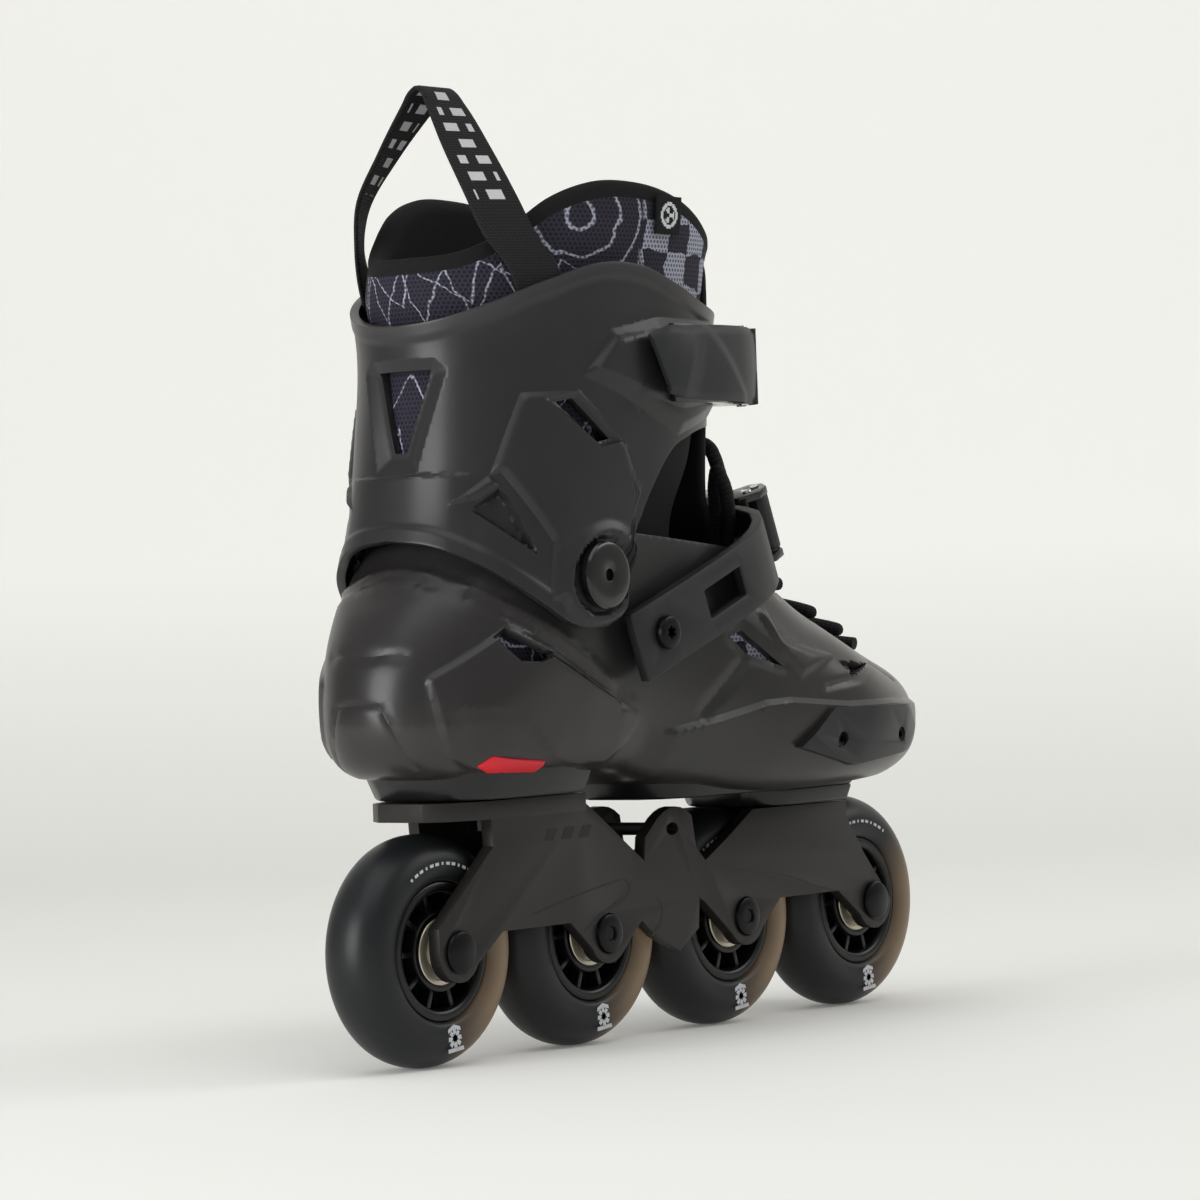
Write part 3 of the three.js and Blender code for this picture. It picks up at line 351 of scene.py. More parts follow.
def copy_of(node, merge=0.01):
    """A CAD node's shape as a bmesh in millimetres, its corners joined."""
    bm = bmesh.new()
    bm.from_mesh(nodes[node].data)
    bmesh.ops.transform(bm, matrix=Matrix.Scale(1 / MM, 4), verts=bm.verts)
    bmesh.ops.remove_doubles(bm, verts=bm.verts, dist=merge)
    flat = [e for e in bm.edges if len(e.link_faces) == 2 and e.calc_face_angle() < math.radians(1)]
    bmesh.ops.dissolve_edges(bm, edges=flat, use_verts=False)
    return bm


def grid(columns, rows):
    """A flat grid of faces, with the place of each vertex across and up it, from -0.5 to 0.5."""
    bm = bmesh.new()
    bmesh.ops.create_grid(bm, x_segments=columns, y_segments=rows, size=0.5)
    flat = places_of(bm)
    return bm, flat[:, 0], flat[:, 1]


def places_of(bm):
    return np.array([v.co for v in bm.verts])


def lay(bm, places, **values):
    """Moves the vertices to new places, and stores numbers on them for a finish to read."""
    layers = [bm.verts.layers.float.new(name) for name in values]
    for vert, place, *numbers in zip(bm.verts, places, *values.values()):
        vert.co = place
        for layer, number in zip(layers, numbers):
            vert[layer] = number


def skin(bm, rings):
    """Joins rings of vertices into a tube and closes its ends."""
    for low, high in zip(rings, rings[1:]):
        for k in range(len(low)):
            n = (k + 1) % len(low)
            bm.faces.new((low[k], low[n], high[n], high[k]))
    bm.faces.new(rings[0])
    bm.faces.new(rings[-1])
    bmesh.ops.recalc_face_normals(bm, faces=bm.faces)


def face_outwards(bm):
    """Turns loose flat faces away from the middle plane of the skate."""
    for face in bm.faces:
        face.normal_update()
        if face.normal.y * face.calc_center_median().y < 0:
            face.normal_flip()


def delete_faces(bm, chosen):
    bmesh.ops.delete(bm, geom=[f for f, gone in zip(bm.faces, chosen) if gone], context="FACES")


def share(amount):
    """Any amount, held between 0 and 1."""
    return np.clip(amount, 0, 1)


def glide(x, known, values):
    """A smooth curve through values at the known places, without the corners of straight interpolation."""
    known, values = np.asarray(known, float), np.asarray(values, float)
    x = np.clip(x, known[0], known[-1])
    slope = np.gradient(values, known)
    i = np.clip(np.searchsorted(known, x) - 1, 0, len(known) - 2)
    gap = known[i + 1] - known[i]
    t = (x - known[i]) / gap
    return (
        (2 * t**3 - 3 * t**2 + 1) * values[i] + (t**3 - 2 * t**2 + t) * gap * slope[i]
        + (3 * t**2 - 2 * t**3) * values[i + 1] + (t**3 - t**2) * gap * slope[i + 1]
    )


def unit(vectors):
    return vectors / np.linalg.norm(vectors, axis=1, keepdims=True)


def ruler_along(points):
    """How far along a line of points each one lies."""
    return np.concatenate([[0], np.cumsum(np.linalg.norm(np.diff(points, axis=0), axis=1))])


def ways_along(points):
    """The unit direction of a line at each of its points."""
    ahead, behind = np.roll(points, -1, 0), np.roll(points, 1, 0)
    ahead[-1] = points[-1] * 2 - points[-2]
    behind[0] = points[0] * 2 - points[1]
    return unit(ahead - behind)


def smooth_line(points, count):
    """A smooth curve through points, with even steps."""
    points = np.asarray(points, float)
    known = ruler_along(points[:, :3])
    at = np.linspace(0, known[-1], count)
    return np.stack([glide(at, known, points[:, i]) for i in range(points.shape[1])], -1)


def signed_power(x, power):
    return np.sign(x) * np.abs(x) ** power


def line_distance(s, z, pairs):
    """How far each point (s, z) lies from a line, which is given as pairs of points."""
    nearest = np.full(len(s), np.inf)
    for (ax, ay), (bx, by) in pairs:
        dx, dy = bx - ax, by - ay
        along = share(((s - ax) * dx + (z - ay) * dy) / (dx * dx + dy * dy))
        nearest = np.minimum(nearest, np.hypot(s - ax - along * dx, z - ay - along * dy))
    return nearest


def inside_distance(s, z, corners):
    """How deep each point lies inside a polygon: negative outside it."""
    pairs = pairs_of(list(corners))
    inside = np.zeros(len(s), bool)
    for (ax, ay), (bx, by) in pairs:
        crosses = (ay > z) != (by > z)
        if ay != by:
            inside ^= crosses & (s < (bx - ax) * (z - ay) / (by - ay) + ax)
    nearest = line_distance(s, z, pairs)
    return np.where(inside, nearest, -nearest)


def plate(s, z, corners, height, slope):
    """A raised or sunk area whose edge slopes over the given width."""
    return height * share(inside_distance(s, z, corners) / slope)


def groove(s, z, points, depth, width):
    return -depth * share(1 - line_distance(s, z, pairs_of(points, closed=False)) / width)


def score(bm, start, end, out, reach=3.0):
    """Cuts the faces near the line from start to end along it, so that a crease there is crisp."""
    start, end, out = Vector(start), Vector(end), Vector(out)
    low = [min(start[i], end[i]) - reach for i in range(3)]
    high = [max(start[i], end[i]) + reach for i in range(3)]
    middle, half = (start + end) / 2, (end - start).length / 2
    along = (end - start).normalized()
    near = []
    for face in bm.faces:
        p = face.verts[0].co
        if (low[0] < p.x < high[0] and low[1] < p.y < high[1] and low[2] < p.z < high[2]
                and abs((p - middle).dot(along)) < half + 1):
            near.append(face)
    if not near:
        return
    edges = {e for f in near for e in f.edges}
    verts = {v for f in near for v in f.verts}
    bmesh.ops.bisect_plane(bm, geom=[*verts, *edges, *near], dist=0.02, plane_co=start,
                           plane_no=along.cross(out))


def pairs_of(corners, closed=True):
    return list(zip(corners, corners[1:] + (corners[:1] if closed else [])))


def mirrored(corners):
    return [(-s, z) for s, z in corners]


def drawn_in(corners, distance):
    """A polygon whose sides lie that far inside the given one's."""
    points = np.asarray(corners, float)
    before, after = np.roll(points, 1, 0), np.roll(points, -1, 0)
    area = np.sum(points[:, 0] * after[:, 1] - after[:, 0] * points[:, 1])
    made = []
    for a, b, c in zip(before, points, after):
        normals = []
        for p, q in ((a, b), (b, c)):
            way = (q - p) / np.linalg.norm(q - p)
            normals.append(np.array((-way[1], way[0])) * (1 if area > 0 else -1))
        middle = normals[0] + normals[1]
        made.append(tuple(b + middle * distance / max(0.45, 1 + normals[0] @ normals[1])))
    return made


print("helpers ready")

# %% [markdown]
# ## Finishes
# The shell and cuff are moulded from a smoky, slightly clear plastic: dark grey, cloudy inside, with a satin
# skin. Where light would shine through the plastic, at the toe, low on the heel and along the cuff's top edge,
# a lighter and warmer tone is painted into the colour: painted light, for the walls are equally thick
# everywhere. A cloud of two noises gives the depth, and a fine bump keeps the highlights from looking like
# glass.

# %% Moulded plastics


def smoky_plastic(name, deep, cloud, painted_through_colour, roughness=0.4):
    finish = Finish(name, Specular_IOR_Level=0.34, Coat_Roughness=0.22)
    wide = finish.noise(finish.place(60), 1, 3)
    fine = finish.noise(finish.place(9), 1, 5)
    body = finish.mix(wide.above(0.5, 0.5), deep, cloud)
    # Painted light: a lighter, warmer tone where light would shine through the plastic, read from each vertex
    # and broken up by the cloud.
    thin = finish.attribute("thin")
    body = finish.mix((thin * (0.35 + wide * 0.9)).clamp(), body, painted_through_colour)
    finish.set(Base_Color=body, Roughness=roughness - 0.05 + fine * 0.1)
    finish.set(Coat_Weight=0.08 + wide * 0.06)
    return finish.bump(finish.noise(finish.place(0.9), 1, 2), 0.012, 0.5)


# The third colour of each is the painted through-light tone.
SHELL = smoky_plastic("smoky_shell", rgb(20, 19, 20), rgb(34, 33, 35), rgb(70, 66, 64), 0.34)
CUFF = smoky_plastic("smoky_cuff", rgb(20, 19, 20), rgb(35, 34, 37), rgb(56, 54, 55), 0.38)


def moulded(name, colour, roughness, speckle=0.5, coat=0.0):
    """Plain injection-moulded plastic with a spark-eroded grain."""
    finish = Finish(name, Specular_IOR_Level=0.36, Coat_Weight=coat, Coat_Roughness=0.12)
    cloud = finish.noise(finish.place(25), 1, 3)
    grain = finish.noise(finish.place(0.5), 1, 3)
    lighter = [min(1, c * 1.35) for c in colour[:3]] + [1]
    finish.set(Base_Color=finish.mix(cloud, colour, lighter), Roughness=roughness - 0.06 + grain * 0.12)
    return finish.bump(grain, 0.03, speckle)


STRAP = moulded("strap_plastic", rgb(27, 28, 29), 0.5)
BUCKLE = moulded("buckle_plastic", rgb(11, 11, 12), 0.22, 0.1, coat=0.5)
LEVER = moulded("lever_plastic", rgb(33, 34, 36), 0.5)
SLIDER = moulded("slider_plastic", rgb(27, 28, 30), 0.42)
HUB = moulded("hub_plastic", rgb(10, 10, 11), 0.3, 0.3)
RED = moulded("red_pad", rgb(208, 30, 44), 0.45, 0.2)
FOAM = moulded("footbed_foam", rgb(34, 34, 36), 0.9, 1.0)

# %% [markdown]
# The chassis is extruded aluminium, blasted and anodised a warm near-black, so it is metallic but matt. The
# bolts are blackened steel, the buckle pins are bright.

# %% Metals


def metal(name, colour, roughness, metallic=1.0, grain_mm=0.4, depth=0.01):
    finish = Finish(name, Metallic=metallic, Specular_IOR_Level=0.5)
    cloud = finish.noise(finish.place(20), 1, 4)
    grain = finish.noise(finish.place(grain_mm), 1, 2)
    lighter = [min(1, c * 1.25) for c in colour[:3]] + [1]
    finish.set(Base_Color=finish.mix(cloud, colour, lighter), Roughness=roughness - 0.05 + cloud * 0.1)
    return finish.bump(grain, depth, 0.4)


FRAME = metal("anodised_frame", rgb(38, 36, 34), 0.46, 0.4)
BOLT = metal("blackened_steel", rgb(24, 24, 26), 0.3, 0.8)
STEEL = metal("bright_steel", rgb(190, 190, 192), 0.2)
BEARING = metal("bearing_shield", rgb(196, 188, 170), 0.35, 0.7)

# %% [markdown]
# The tyres are cast urethane, dark and smoky. The brown glow through the tread on the side away from the lamps
# is painted light: each vertex of a tyre stores how much it glows, and the base colour and an emission follow
# that.

# %% Urethane
TYRE = Finish("smoky_urethane", Specular_IOR_Level=0.32)
# reach is how much painted glow each vertex takes.
reach = TYRE.attribute("reach")
cloud = TYRE.noise(TYRE.place(30), 1, 3)
side = TYRE.mix(cloud, rgb(20, 22, 24), rgb(28, 30, 32))
glow = TYRE.mix(cloud, rgb(74, 62, 49), rgb(88, 75, 59))
TYRE.set(Base_Color=TYRE.mix(reach.clamp(), side, glow), Roughness=0.34 + cloud * 0.1)
# Painted light: the tread glows by itself, though it is no lamp.
TYRE.set(Emission_Color=TYRE.mix(reach.clamp(), rgb(0, 0, 0), rgb(80, 67, 51)))
TYRE.shader.inputs["Emission Strength"].default_value = 1.0
TYRE.bump(TYRE.noise(TYRE.place(1.2), 1, 3), 0.02, 0.4)

# %% [markdown]
# ## Fabrics
# The liner is a knitted spacer mesh over foam: small oval holes in staggered rows, printed in white on
# near-black with loose zigzags, rings and a chequer. The print is drawn with plain arithmetic on the liner's
# own map, in which u runs round the leg and v up it, both in millimetres.

# %% Liner mesh with its print


def knit(finish, u, v, pitch):
    """A staggered field of small holes: 1 in a hole and 0 on the thread."""
    row = (v / (pitch * 0.8)).floor()
    shift = (row * 0.5).fraction()
    a = ((u / pitch + shift).fraction() - 0.5) * 2
    b = ((v / (pitch * 0.8)).fraction() - 0.5) * 2
    return 1 - (a * a + b * b * 0.8).above(0.42, 0.3)


def zigzag(u, v, base, height, pitch, line):
    """A hand-drawn zigzag line, 1 on the line, near the height base."""
    wave = ((u / pitch).fraction() - 0.5).absolute() * 2
    return 1 - ((v - base - wave * height).absolute() / (height / pitch * 2)).above(line, 0.5)


def liner_mesh(name):
    finish = Finish(name, Specular_IOR_Level=0.25)
    u = finish.attribute("around")
    v = finish.attribute("up")
    wobble = finish.noise(finish.place(14), 1, 3)
    uu = u + (wobble - 0.5) * 10
    vv = v + (finish.noise(finish.place(17, (3, 1, 2)), 1, 3) - 0.5) * 10
    ink = zigzag(uu, vv, 240, 20, 19, 0.3).most(zigzag(uu + 5, vv, 192, 17, 13, 0.35))
    ink = ink.most(zigzag(uu + vv * 0.6, vv, 247, 15, 27, 0.35)).most(zigzag(uu, vv, 212, 12, 24, 0.35))
    ring = ((uu - 66) * (uu - 66) + (vv - 276) * (vv - 276) * 1.6).power(0.5)
    near_ring = 1 - ring.above(34)
    ink = ink.most(near_ring * (1 - ((ring / 11).fraction() - 0.5).absolute().above(0.06, 0.04)))
    chequer_zone = (uu - 96).above(0, 3)
    chequer = ((uu / 14).floor() + (vv / 11).floor()) / 2
    squares = (chequer.fraction() * 2).above(0.5)
    ink = finish.mix(chequer_zone, ink, squares)
    cloth = finish.mix(wobble, rgb(38, 36, 47), rgb(56, 53, 68))
    hole = knit(finish, u, v, 1.9)
    shade = finish.mix(ink * 0.9, cloth, rgb(176, 179, 196))
    shade = finish.mix(hole * 0.7, shade, rgb(17, 16, 22))
    finish.set(Base_Color=shade, Roughness=0.85)
    return finish.bump(1 - hole, 0.35, 0.8)


LINER = liner_mesh("printed_mesh")

NEOPRENE = Finish("neoprene", Specular_IOR_Level=0.2)
nap = NEOPRENE.noise(NEOPRENE.place(0.45), 1, 3)
NEOPRENE.set(Base_Color=NEOPRENE.mix(nap, rgb(16, 16, 17), rgb(30, 30, 32)), Roughness=0.88)
NEOPRENE.bump(nap, 0.12, 0.7)

# %% Webbing and lace


def webbing(name, base, light):
    """Narrow ribbed webbing; u runs across the band and v along it, in millimetres."""
    finish = Finish(name, Specular_IOR_Level=0.3)
    u = finish.attribute("around")
    v = finish.attribute("up")
    rib = (v * (2 * math.pi / 1.1)).sine() * 0.5 + 0.5
    twill = ((u + v * 0.5) * (2 * math.pi / 1.6)).sine() * 0.5 + 0.5
    weave = rib * 0.6 + twill * 0.4
    colour = finish.mix(weave * 0.8, base, light)
    return finish, u, v, weave, colour


PLAIN_WEBBING, _, _, weave, colour = webbing("black_webbing", rgb(12, 12, 13), rgb(42, 42, 45))
PLAIN_WEBBING.set(Base_Color=colour, Roughness=0.8)
PLAIN_WEBBING.bump(weave, 0.25, 0.7)

PATTERN_WEBBING, across, along, weave, colour = webbing("patterned_webbing", rgb(12, 12, 13), rgb(40, 40, 43))
block = (along / 7).fraction()
bar = block.above(0.3) * (1 - block.above(0.8))
stair = ((across / 9 + (along / 7).floor() * 0.37).fraction() - 0.5).absolute().above(0.2)
inside = 1 - across.absolute().above(5.6)
printed = PATTERN_WEBBING.attribute("printed")
mark = bar * stair * inside * printed
PATTERN_WEBBING.set(Base_Color=PATTERN_WEBBING.mix(mark * 0.9, colour, rgb(205, 206, 208)), Roughness=0.8)
PATTERN_WEBBING.bump(weave, 0.25, 0.7)

LACE = Finish("braided_lace", Specular_IOR_Level=0.3)
turns = LACE.attribute("around") * 8
climb = LACE.attribute("up") * (2 * math.pi / 3.2)
braid = ((turns + climb).sine() * (turns - climb).sine()) * 0.5 + 0.5
LACE.set(Base_Color=LACE.mix(braid, rgb(12, 12, 13), rgb(38, 38, 41)), Roughness=0.8)
LACE.bump(braid, 0.3, 0.8)

WHITE_MARK = Finish("printed_mark", Base_Color=rgb(205, 208, 212), Roughness=0.6, Specular_IOR_Level=0.3)
worn = WHITE_MARK.noise(WHITE_MARK.place(2), 1, 3)
WHITE_MARK.set(Base_Color=WHITE_MARK.mix(worn, rgb(190, 193, 198), rgb(216, 218, 222)))
print("finishes ready:", len(bpy.data.materials))

# %% [markdown]
# ## The cuff
# The cuff is one moulding that wraps the ankle, open at the front. It is easiest made as a tailor would: a
# flat pattern is cut and scored, and then wrapped round the leg. On the pattern, s runs round from the back
# and z goes up, in millimetres. Scoring the pattern along each pressed-in line first keeps the creases crisp.

# %% The leg's form
LEG_SECTIONS = np.array([  # height, rear x, front x, half-width, squareness
    (138, -131, 16, 46.5, 2.5), (158, -126, 18, 46.5, 2.5), (178, -121, 20, 46, 2.4),
    (205, -117, 22, 46, 2.3),
    (235, -115, 26, 47, 2.2), (252, -118, 31, 47.5, 2.2), (275, -119, 42, 49, 2.1),
    (300, -120, 46, 49.5, 2.1),
])
PIVOT_X, PIVOT_Z = -71, 158
BOSS_R, BOSS_HEIGHT, BOSS_SEAT_R = 17.5, 2.6, 13


def leg_at(turn, z, inset=0.0):
    """A point on the leg's form: turn is the angle from the back, positive towards the outer side."""
    rear, front, half, square = (glide(z, LEG_SECTIONS[:, 0], LEG_SECTIONS[:, i]) for i in (1, 2, 3, 4))
    c, s = -np.cos(turn), -np.sin(turn)
    x = (rear + front) / 2 + ((front - rear) / 2 - inset) * signed_power(c, 2 / square)
    return np.stack([x, (half - inset) * signed_power(s, 2 / square), z], -1)


TURNS = np.linspace(0, math.pi, 2000)
LEG_RULER = leg_at(TURNS, np.full(len(TURNS), 205.0))
LEG_ARC = ruler_along(LEG_RULER)


def leg_turn(s):
    return np.sign(s) * np.interp(np.abs(s), LEG_ARC, TURNS)


def wrap_leg(s, z, out, inset=0.0):
    """Wraps pattern points round the leg, at a distance out from its surface."""
    turn = leg_turn(s)
    here = leg_at(turn, z, inset)
    round_it = leg_at(turn + 0.004, z, inset) - leg_at(turn - 0.004, z, inset)
    up_it = leg_at(turn, z + 0.5, inset) - leg_at(turn, z - 0.5, inset)
    return here + unit(np.cross(round_it, up_it)) * np.asarray(out)[:, None]


PIVOT_S = float(np.interp(PIVOT_X, leg_at(TURNS, np.full(len(TURNS), float(PIVOT_Z)))[:, 0], LEG_ARC))
print("the cuff's hinge lies", round(PIVOT_S, 1), "mm round from the back")

# %% [markdown]
# The pattern is written down as outlines. Only one side is given, and the other is its mirror image. Each
# area is raised or sunk by its own height, and its edge slopes, because moulded edges are never square.

# %% The cuff's pattern
CUFF_CELLS = (290, 96)
PAINTED_LIGHT_RIM = 7
CUFF_END = 171
CUFF_BOTTOM = [(0, 171), (15, 169), (29, 164), (43, 157), (59, 148), (67, 143.6), (74, 141.3), (80, 141),
               (86, 142.5), (90, 149), (91.5, 160), (93, 170), (96, 178), (103, 189.5), (112, 199),
               (124, 204),
               (150, 208), (CUFF_END, 209)]
CUFF_TOP = [(0, 241), (14, 242), (30, 246), (54, 255), (72, 260.5), (89, 260), (112, 254), (127, 249.5),
            (150, 246), (CUFF_END, 243)]
WINDOW_FRAME = [(-18.5, 226.5), (-14, 230.3), (14, 230.3), (18.5, 226.5), (8, 192.8), (-8, 192.8)]
WINDOW = [(-12, 226.5), (12, 226.5), (2.6, 200), (-2.6, 200)]
STAR = [(33, 191), (42, 218), (64, 218.5), (87, 201), (95, 185), (91, 172), (91, 150), (59, 150), (58, 169),
        (37, 192)]
STAR_ARM = [(19, 181.5), (33, 191.5), (37, 188), (30, 183.5)]
STAR_WEDGE = [(27, 180.5), (36.5, 187), (40, 184), (53.5, 164.5)]
SLOT_FRAME = [(49, 216.3), (63.5, 217.6), (84.5, 201.8), (74, 199.8)]
SLOT = [(54.5, 214.8), (61, 215.8), (78.5, 202.6), (73, 201.6)]
WING = [(64, 223.5), (76, 238.5), (100, 243), (150, 243), (168, 240), (168, 212), (140, 210), (116, 204),
        (85, 216.5)]
WING_TOP = [(66, 225), (77, 236.5), (100, 239.5), (150, 240), (165, 238), (165, 219), (116, 213), (85, 219)]
BAND_LINE = [(-24, 192), (24, 192)]


def outline_line(s, line):
    known, values = zip(*line)
    return glide(np.abs(s), known, values)


def cuff_relief(s, z):
    """How far the cuff's face stands proud of the plain form."""
    side = np.abs(s)
    bottom, top = outline_line(s, CUFF_BOTTOM), outline_line(s, CUFF_TOP)
    out = 0.5 * share(1 - (top - z - 4) / 2)
    out += 0.7 * share(1 - (z - bottom - 4.5) / 1.5) * share((70 - side) / 10)
    out += 0.9 * share((192.5 - z) / 0.8) * share((29 - side) / 8)
    out += plate(side, z, STAR, 1.5, 2.1)
    out += plate(side, z, STAR_ARM, 1.4, 1.6)
    wedge = share(inside_distance(side, z, STAR_WEDGE) / 1.1)
    out -= wedge * np.clip((side - 24 + (z - 164) * 0.3) * 0.2, 0, 3.6)
    out += plate(side, z, SLOT_FRAME, -1.7, 1.2)
    out += plate(side, z, WING, 2.0, 4.0) + plate(side, z, WING_TOP, 0.8, 2.0)
    out += plate(s, z, WINDOW_FRAME, -2.3, 5.2)
    lift = np.hypot(side - PIVOT_S, z - PIVOT_Z)
    boss = share((BOSS_R - lift) / 2)
    out = out * (1 - boss) + boss * BOSS_HEIGHT
    out -= 2.0 * share((BOSS_SEAT_R - lift) / 0.6)
    return out


def make_cuff():
    bm, across, up = grid(*CUFF_CELLS)
    s = across * 2 * CUFF_END
    bottom, top = outline_line(s, CUFF_BOTTOM), outline_line(s, CUFF_TOP)
    z = bottom + (up + 0.5) * (top - bottom)
    lay(bm, np.stack([s, z, np.zeros(len(s))], -1))
    out = (0, 0, 1)
    shapes = [STAR, STAR_ARM, STAR_WEDGE, SLOT_FRAME, SLOT, WING, WING_TOP]
    lines = [pair for shape in shapes for side in (shape, mirrored(shape)) for pair in pairs_of(side)]
    lines += pairs_of(WINDOW_FRAME) + pairs_of(WINDOW) + pairs_of(BAND_LINE, False)
    for (a, b), (c, d) in lines:
        score(bm, (a, b, 0), (c, d, 0), out)
    middles = np.array([f.calc_center_median() for f in bm.faces])
    delete_faces(bm, np.any([inside_distance(middles[:, 0], middles[:, 1], hole) > 0
                             for hole in (WINDOW, SLOT, mirrored(SLOT))], axis=0))
    s, z, _ = places_of(bm).T
    # Painted light: the band along the top edge takes the lighter through-light tone, and the rest of the cuff
    # a little of it.
    rim = share(1 - (outline_line(s, CUFF_TOP) - z) / PAINTED_LIGHT_RIM) + 0.25
    lay(bm, wrap_leg(s, z, cuff_relief(s, z)), thin=rim)
    return keep(bm, "cuff_moulding", CUFF, "cuff", ["cuff"], wall=3.0, edge=0.7, edge_angle=50,
                sharp=32)


cuff = make_cuff()
print("cuff", len(cuff.data.polygons), "faces")

# %% [markdown]
# ## The boot's shell
# The shell is lofted through slanted sections of a foot, from the toe to the ankle. Its surface is scored the
# same way as the cuff's: every pressed-in line is written as (s, z), where s runs forward along the side and
# round the heel, and is then found on the form by looking outwards from the foot's middle.

# %% The foot's form
FOOT_SECTIONS = np.array([  # low x, low z, high x, high z, half-width, middle y, lower and upper squareness
    (142, 95, 142.3, 112, 15, 6, 2.2, 2.2), (138, 90.6, 139, 117.3, 24, 6, 2.4, 2.2),
    (129, 87, 130, 122, 32, 5, 2.8, 2.2), (113, 84, 116, 127, 41, 4, 3.2, 2.2),
    (92, 82, 96, 133, 48, 2, 3.4, 2.1), (62, 81, 74, 142, 51, 0, 3.4, 2.1),
    (30, 82, 52, 155, 48.5, 0, 3.4, 2.1), (-5, 86, 34, 173, 45, 0, 3.4, 2.1),
    (-40, 90.5, 22, 186, 42, 0, 3.6, 2.2), (-75, 92.5, 15, 196, 41, 0, 3.6, 2.3),
    (-106, 93, 11, 205, 41, 0, 3.4, 2.4), (-130, 96, 9, 213, 41, 0, 2.8, 2.5),
    (-139.5, 107, 8, 220, 40.5, 0, 2.3, 2.6), (-139.5, 126, 8, 228, 39, 0, 2.2, 2.6),
    (-133.5, 143, 8, 232, 38, 0, 2.1, 2.5), (-124, 155, 8, 236, 38, 0, 2.1, 2.4),
    (-114, 172, 8, 240, 38.5, 0, 2.1, 2.4), (-110, 188, 8, 248, 38.5, 0, 2.1, 2.4),
])
STATIONS = np.arange(len(FOOT_SECTIONS))
TOE_ROUND = 3.4
HEEL_CENTRE_X, HEEL_RADIUS = -85.0, 44.0
COLLAR_AT, COLLAR_SLOPE = (-115, 0, 178), 0.09
TONGUE_GAP = 15
INSTEP_TILT = math.radians(21)
INSTEP_ORIGIN = np.array((-42, 0, 138.5))
INSTEP_A = np.array((math.cos(INSTEP_TILT), 0, math.sin(INSTEP_TILT)))
INSTEP_C = np.array((-math.sin(INSTEP_TILT), 0, math.cos(INSTEP_TILT)))


def foot_at(turn, t, inset=0.0):
    """A point on the foot's form: turn goes round a section, and t counts the sections from the toe."""
    turn, t = np.broadcast_arrays(turn, t)
    low_x, low_z, high_x, high_z, half, middle, low_power, high_power = (
        glide(np.maximum(t, 0).ravel(), STATIONS, FOOT_SECTIONS[:, i]).reshape(t.shape) for i in range(8))
    cap = np.maximum(-t, 0) * math.pi / 2
    c, s = np.cos(turn), np.sin(turn)
    power = 2 / np.where(s < 0, low_power, high_power)
    length = np.hypot(high_x - low_x, high_z - low_z)
    up_x, up_z = (high_x - low_x) / length, (high_z - low_z) / length
    along = (length / 2 - inset) * signed_power(s, power) * np.cos(cap)
    side = (half - inset) * signed_power(c, power) * np.cos(cap)
    x = (low_x + high_x) / 2 + up_x * along + TOE_ROUND * np.sin(cap) - inset * share(1.5 - t)
    return np.stack([x, middle * np.ones_like(x) + side, (low_z + high_z) / 2 + up_z * along], -1)


def even_rows(count, first=-1.0):
    """Values of t a roughly even distance apart."""
    dense = np.linspace(first, STATIONS[-1], 1200)
    turns = np.array([0.0, math.pi / 2, 3 * math.pi / 2])
    lines = np.stack([foot_at(a, dense) for a in turns])
    steps = np.linalg.norm(np.diff(lines, axis=1), axis=2).mean(0)
    ruler = np.concatenate([[0], np.cumsum(steps)])
    return np.interp(np.linspace(0, ruler[-1], count), ruler, dense)


def even_turns(t, per_quarter, inset=0.0):
    """Angles round one section an even distance apart, quarter by quarter."""
    warp = 0.5 - 0.5 * np.cos(np.linspace(0, math.pi, 160))
    turns = []
    for quarter in range(4):
        dense = (quarter + warp) * math.pi / 2
        line = foot_at(dense, np.full(len(dense), t), inset)
        ruler = ruler_along(line)
        turns.append(np.interp(np.linspace(0, ruler[-1], per_quarter + 1)[:-1], ruler, dense))
    return np.append(np.concatenate(turns), 2 * math.pi)


def foot_grid(columns, rows, inset=0.0):
    """The form as a bmesh tube closed at the toe, and open at the ankle."""
    bm, across, up = grid(columns, rows)
    i = np.rint((across + 0.5) * columns).astype(int)
    j = np.rint((up + 0.5) * rows).astype(int)
    levels = even_rows(rows + 1)
    turns = np.stack([even_turns(t, columns // 4, inset) for t in levels])
    lay(bm, foot_at(turns[j, i], levels[j], inset))
    bmesh.ops.remove_doubles(bm, verts=bm.verts, dist=0.05)
    bmesh.ops.recalc_face_normals(bm, faces=bm.faces)
    return bm


def along_side(p):
    """How far forward round the side each point lies; both sides count up from the heel's middle."""
    x, y = p[:, 0], np.abs(p[:, 1])
    heel = HEEL_RADIUS * np.arctan2(y, HEEL_CENTRE_X - x)
    return np.where(x < HEEL_CENTRE_X, heel, HEEL_RADIUS * math.pi / 2 + x - HEEL_CENTRE_X)


def look_out(tree, s, z, side):
    """The point of the form at (s, z), with its normal. side is -1 for the outer side and 1 for the inner."""
    if s < HEEL_RADIUS * math.pi / 2:
        turn = s / HEEL_RADIUS
        start, way = Vector((HEEL_CENTRE_X, 0, z)), Vector((-math.cos(turn), side * math.sin(turn), 0))
    else:
        start = Vector((s - HEEL_RADIUS * math.pi / 2 + HEEL_CENTRE_X, 0, z))
        way = Vector((0, side, 0))
    place, normal, _, _ = tree.ray_cast(start, way)
    return place, normal


# %% [markdown]
# The shell carries a lip under the cuff, a raised panel on each side of the heel, a bumper round the toe and
# three openings a side, through which the liner shows. The instep is cut open for the tongue.

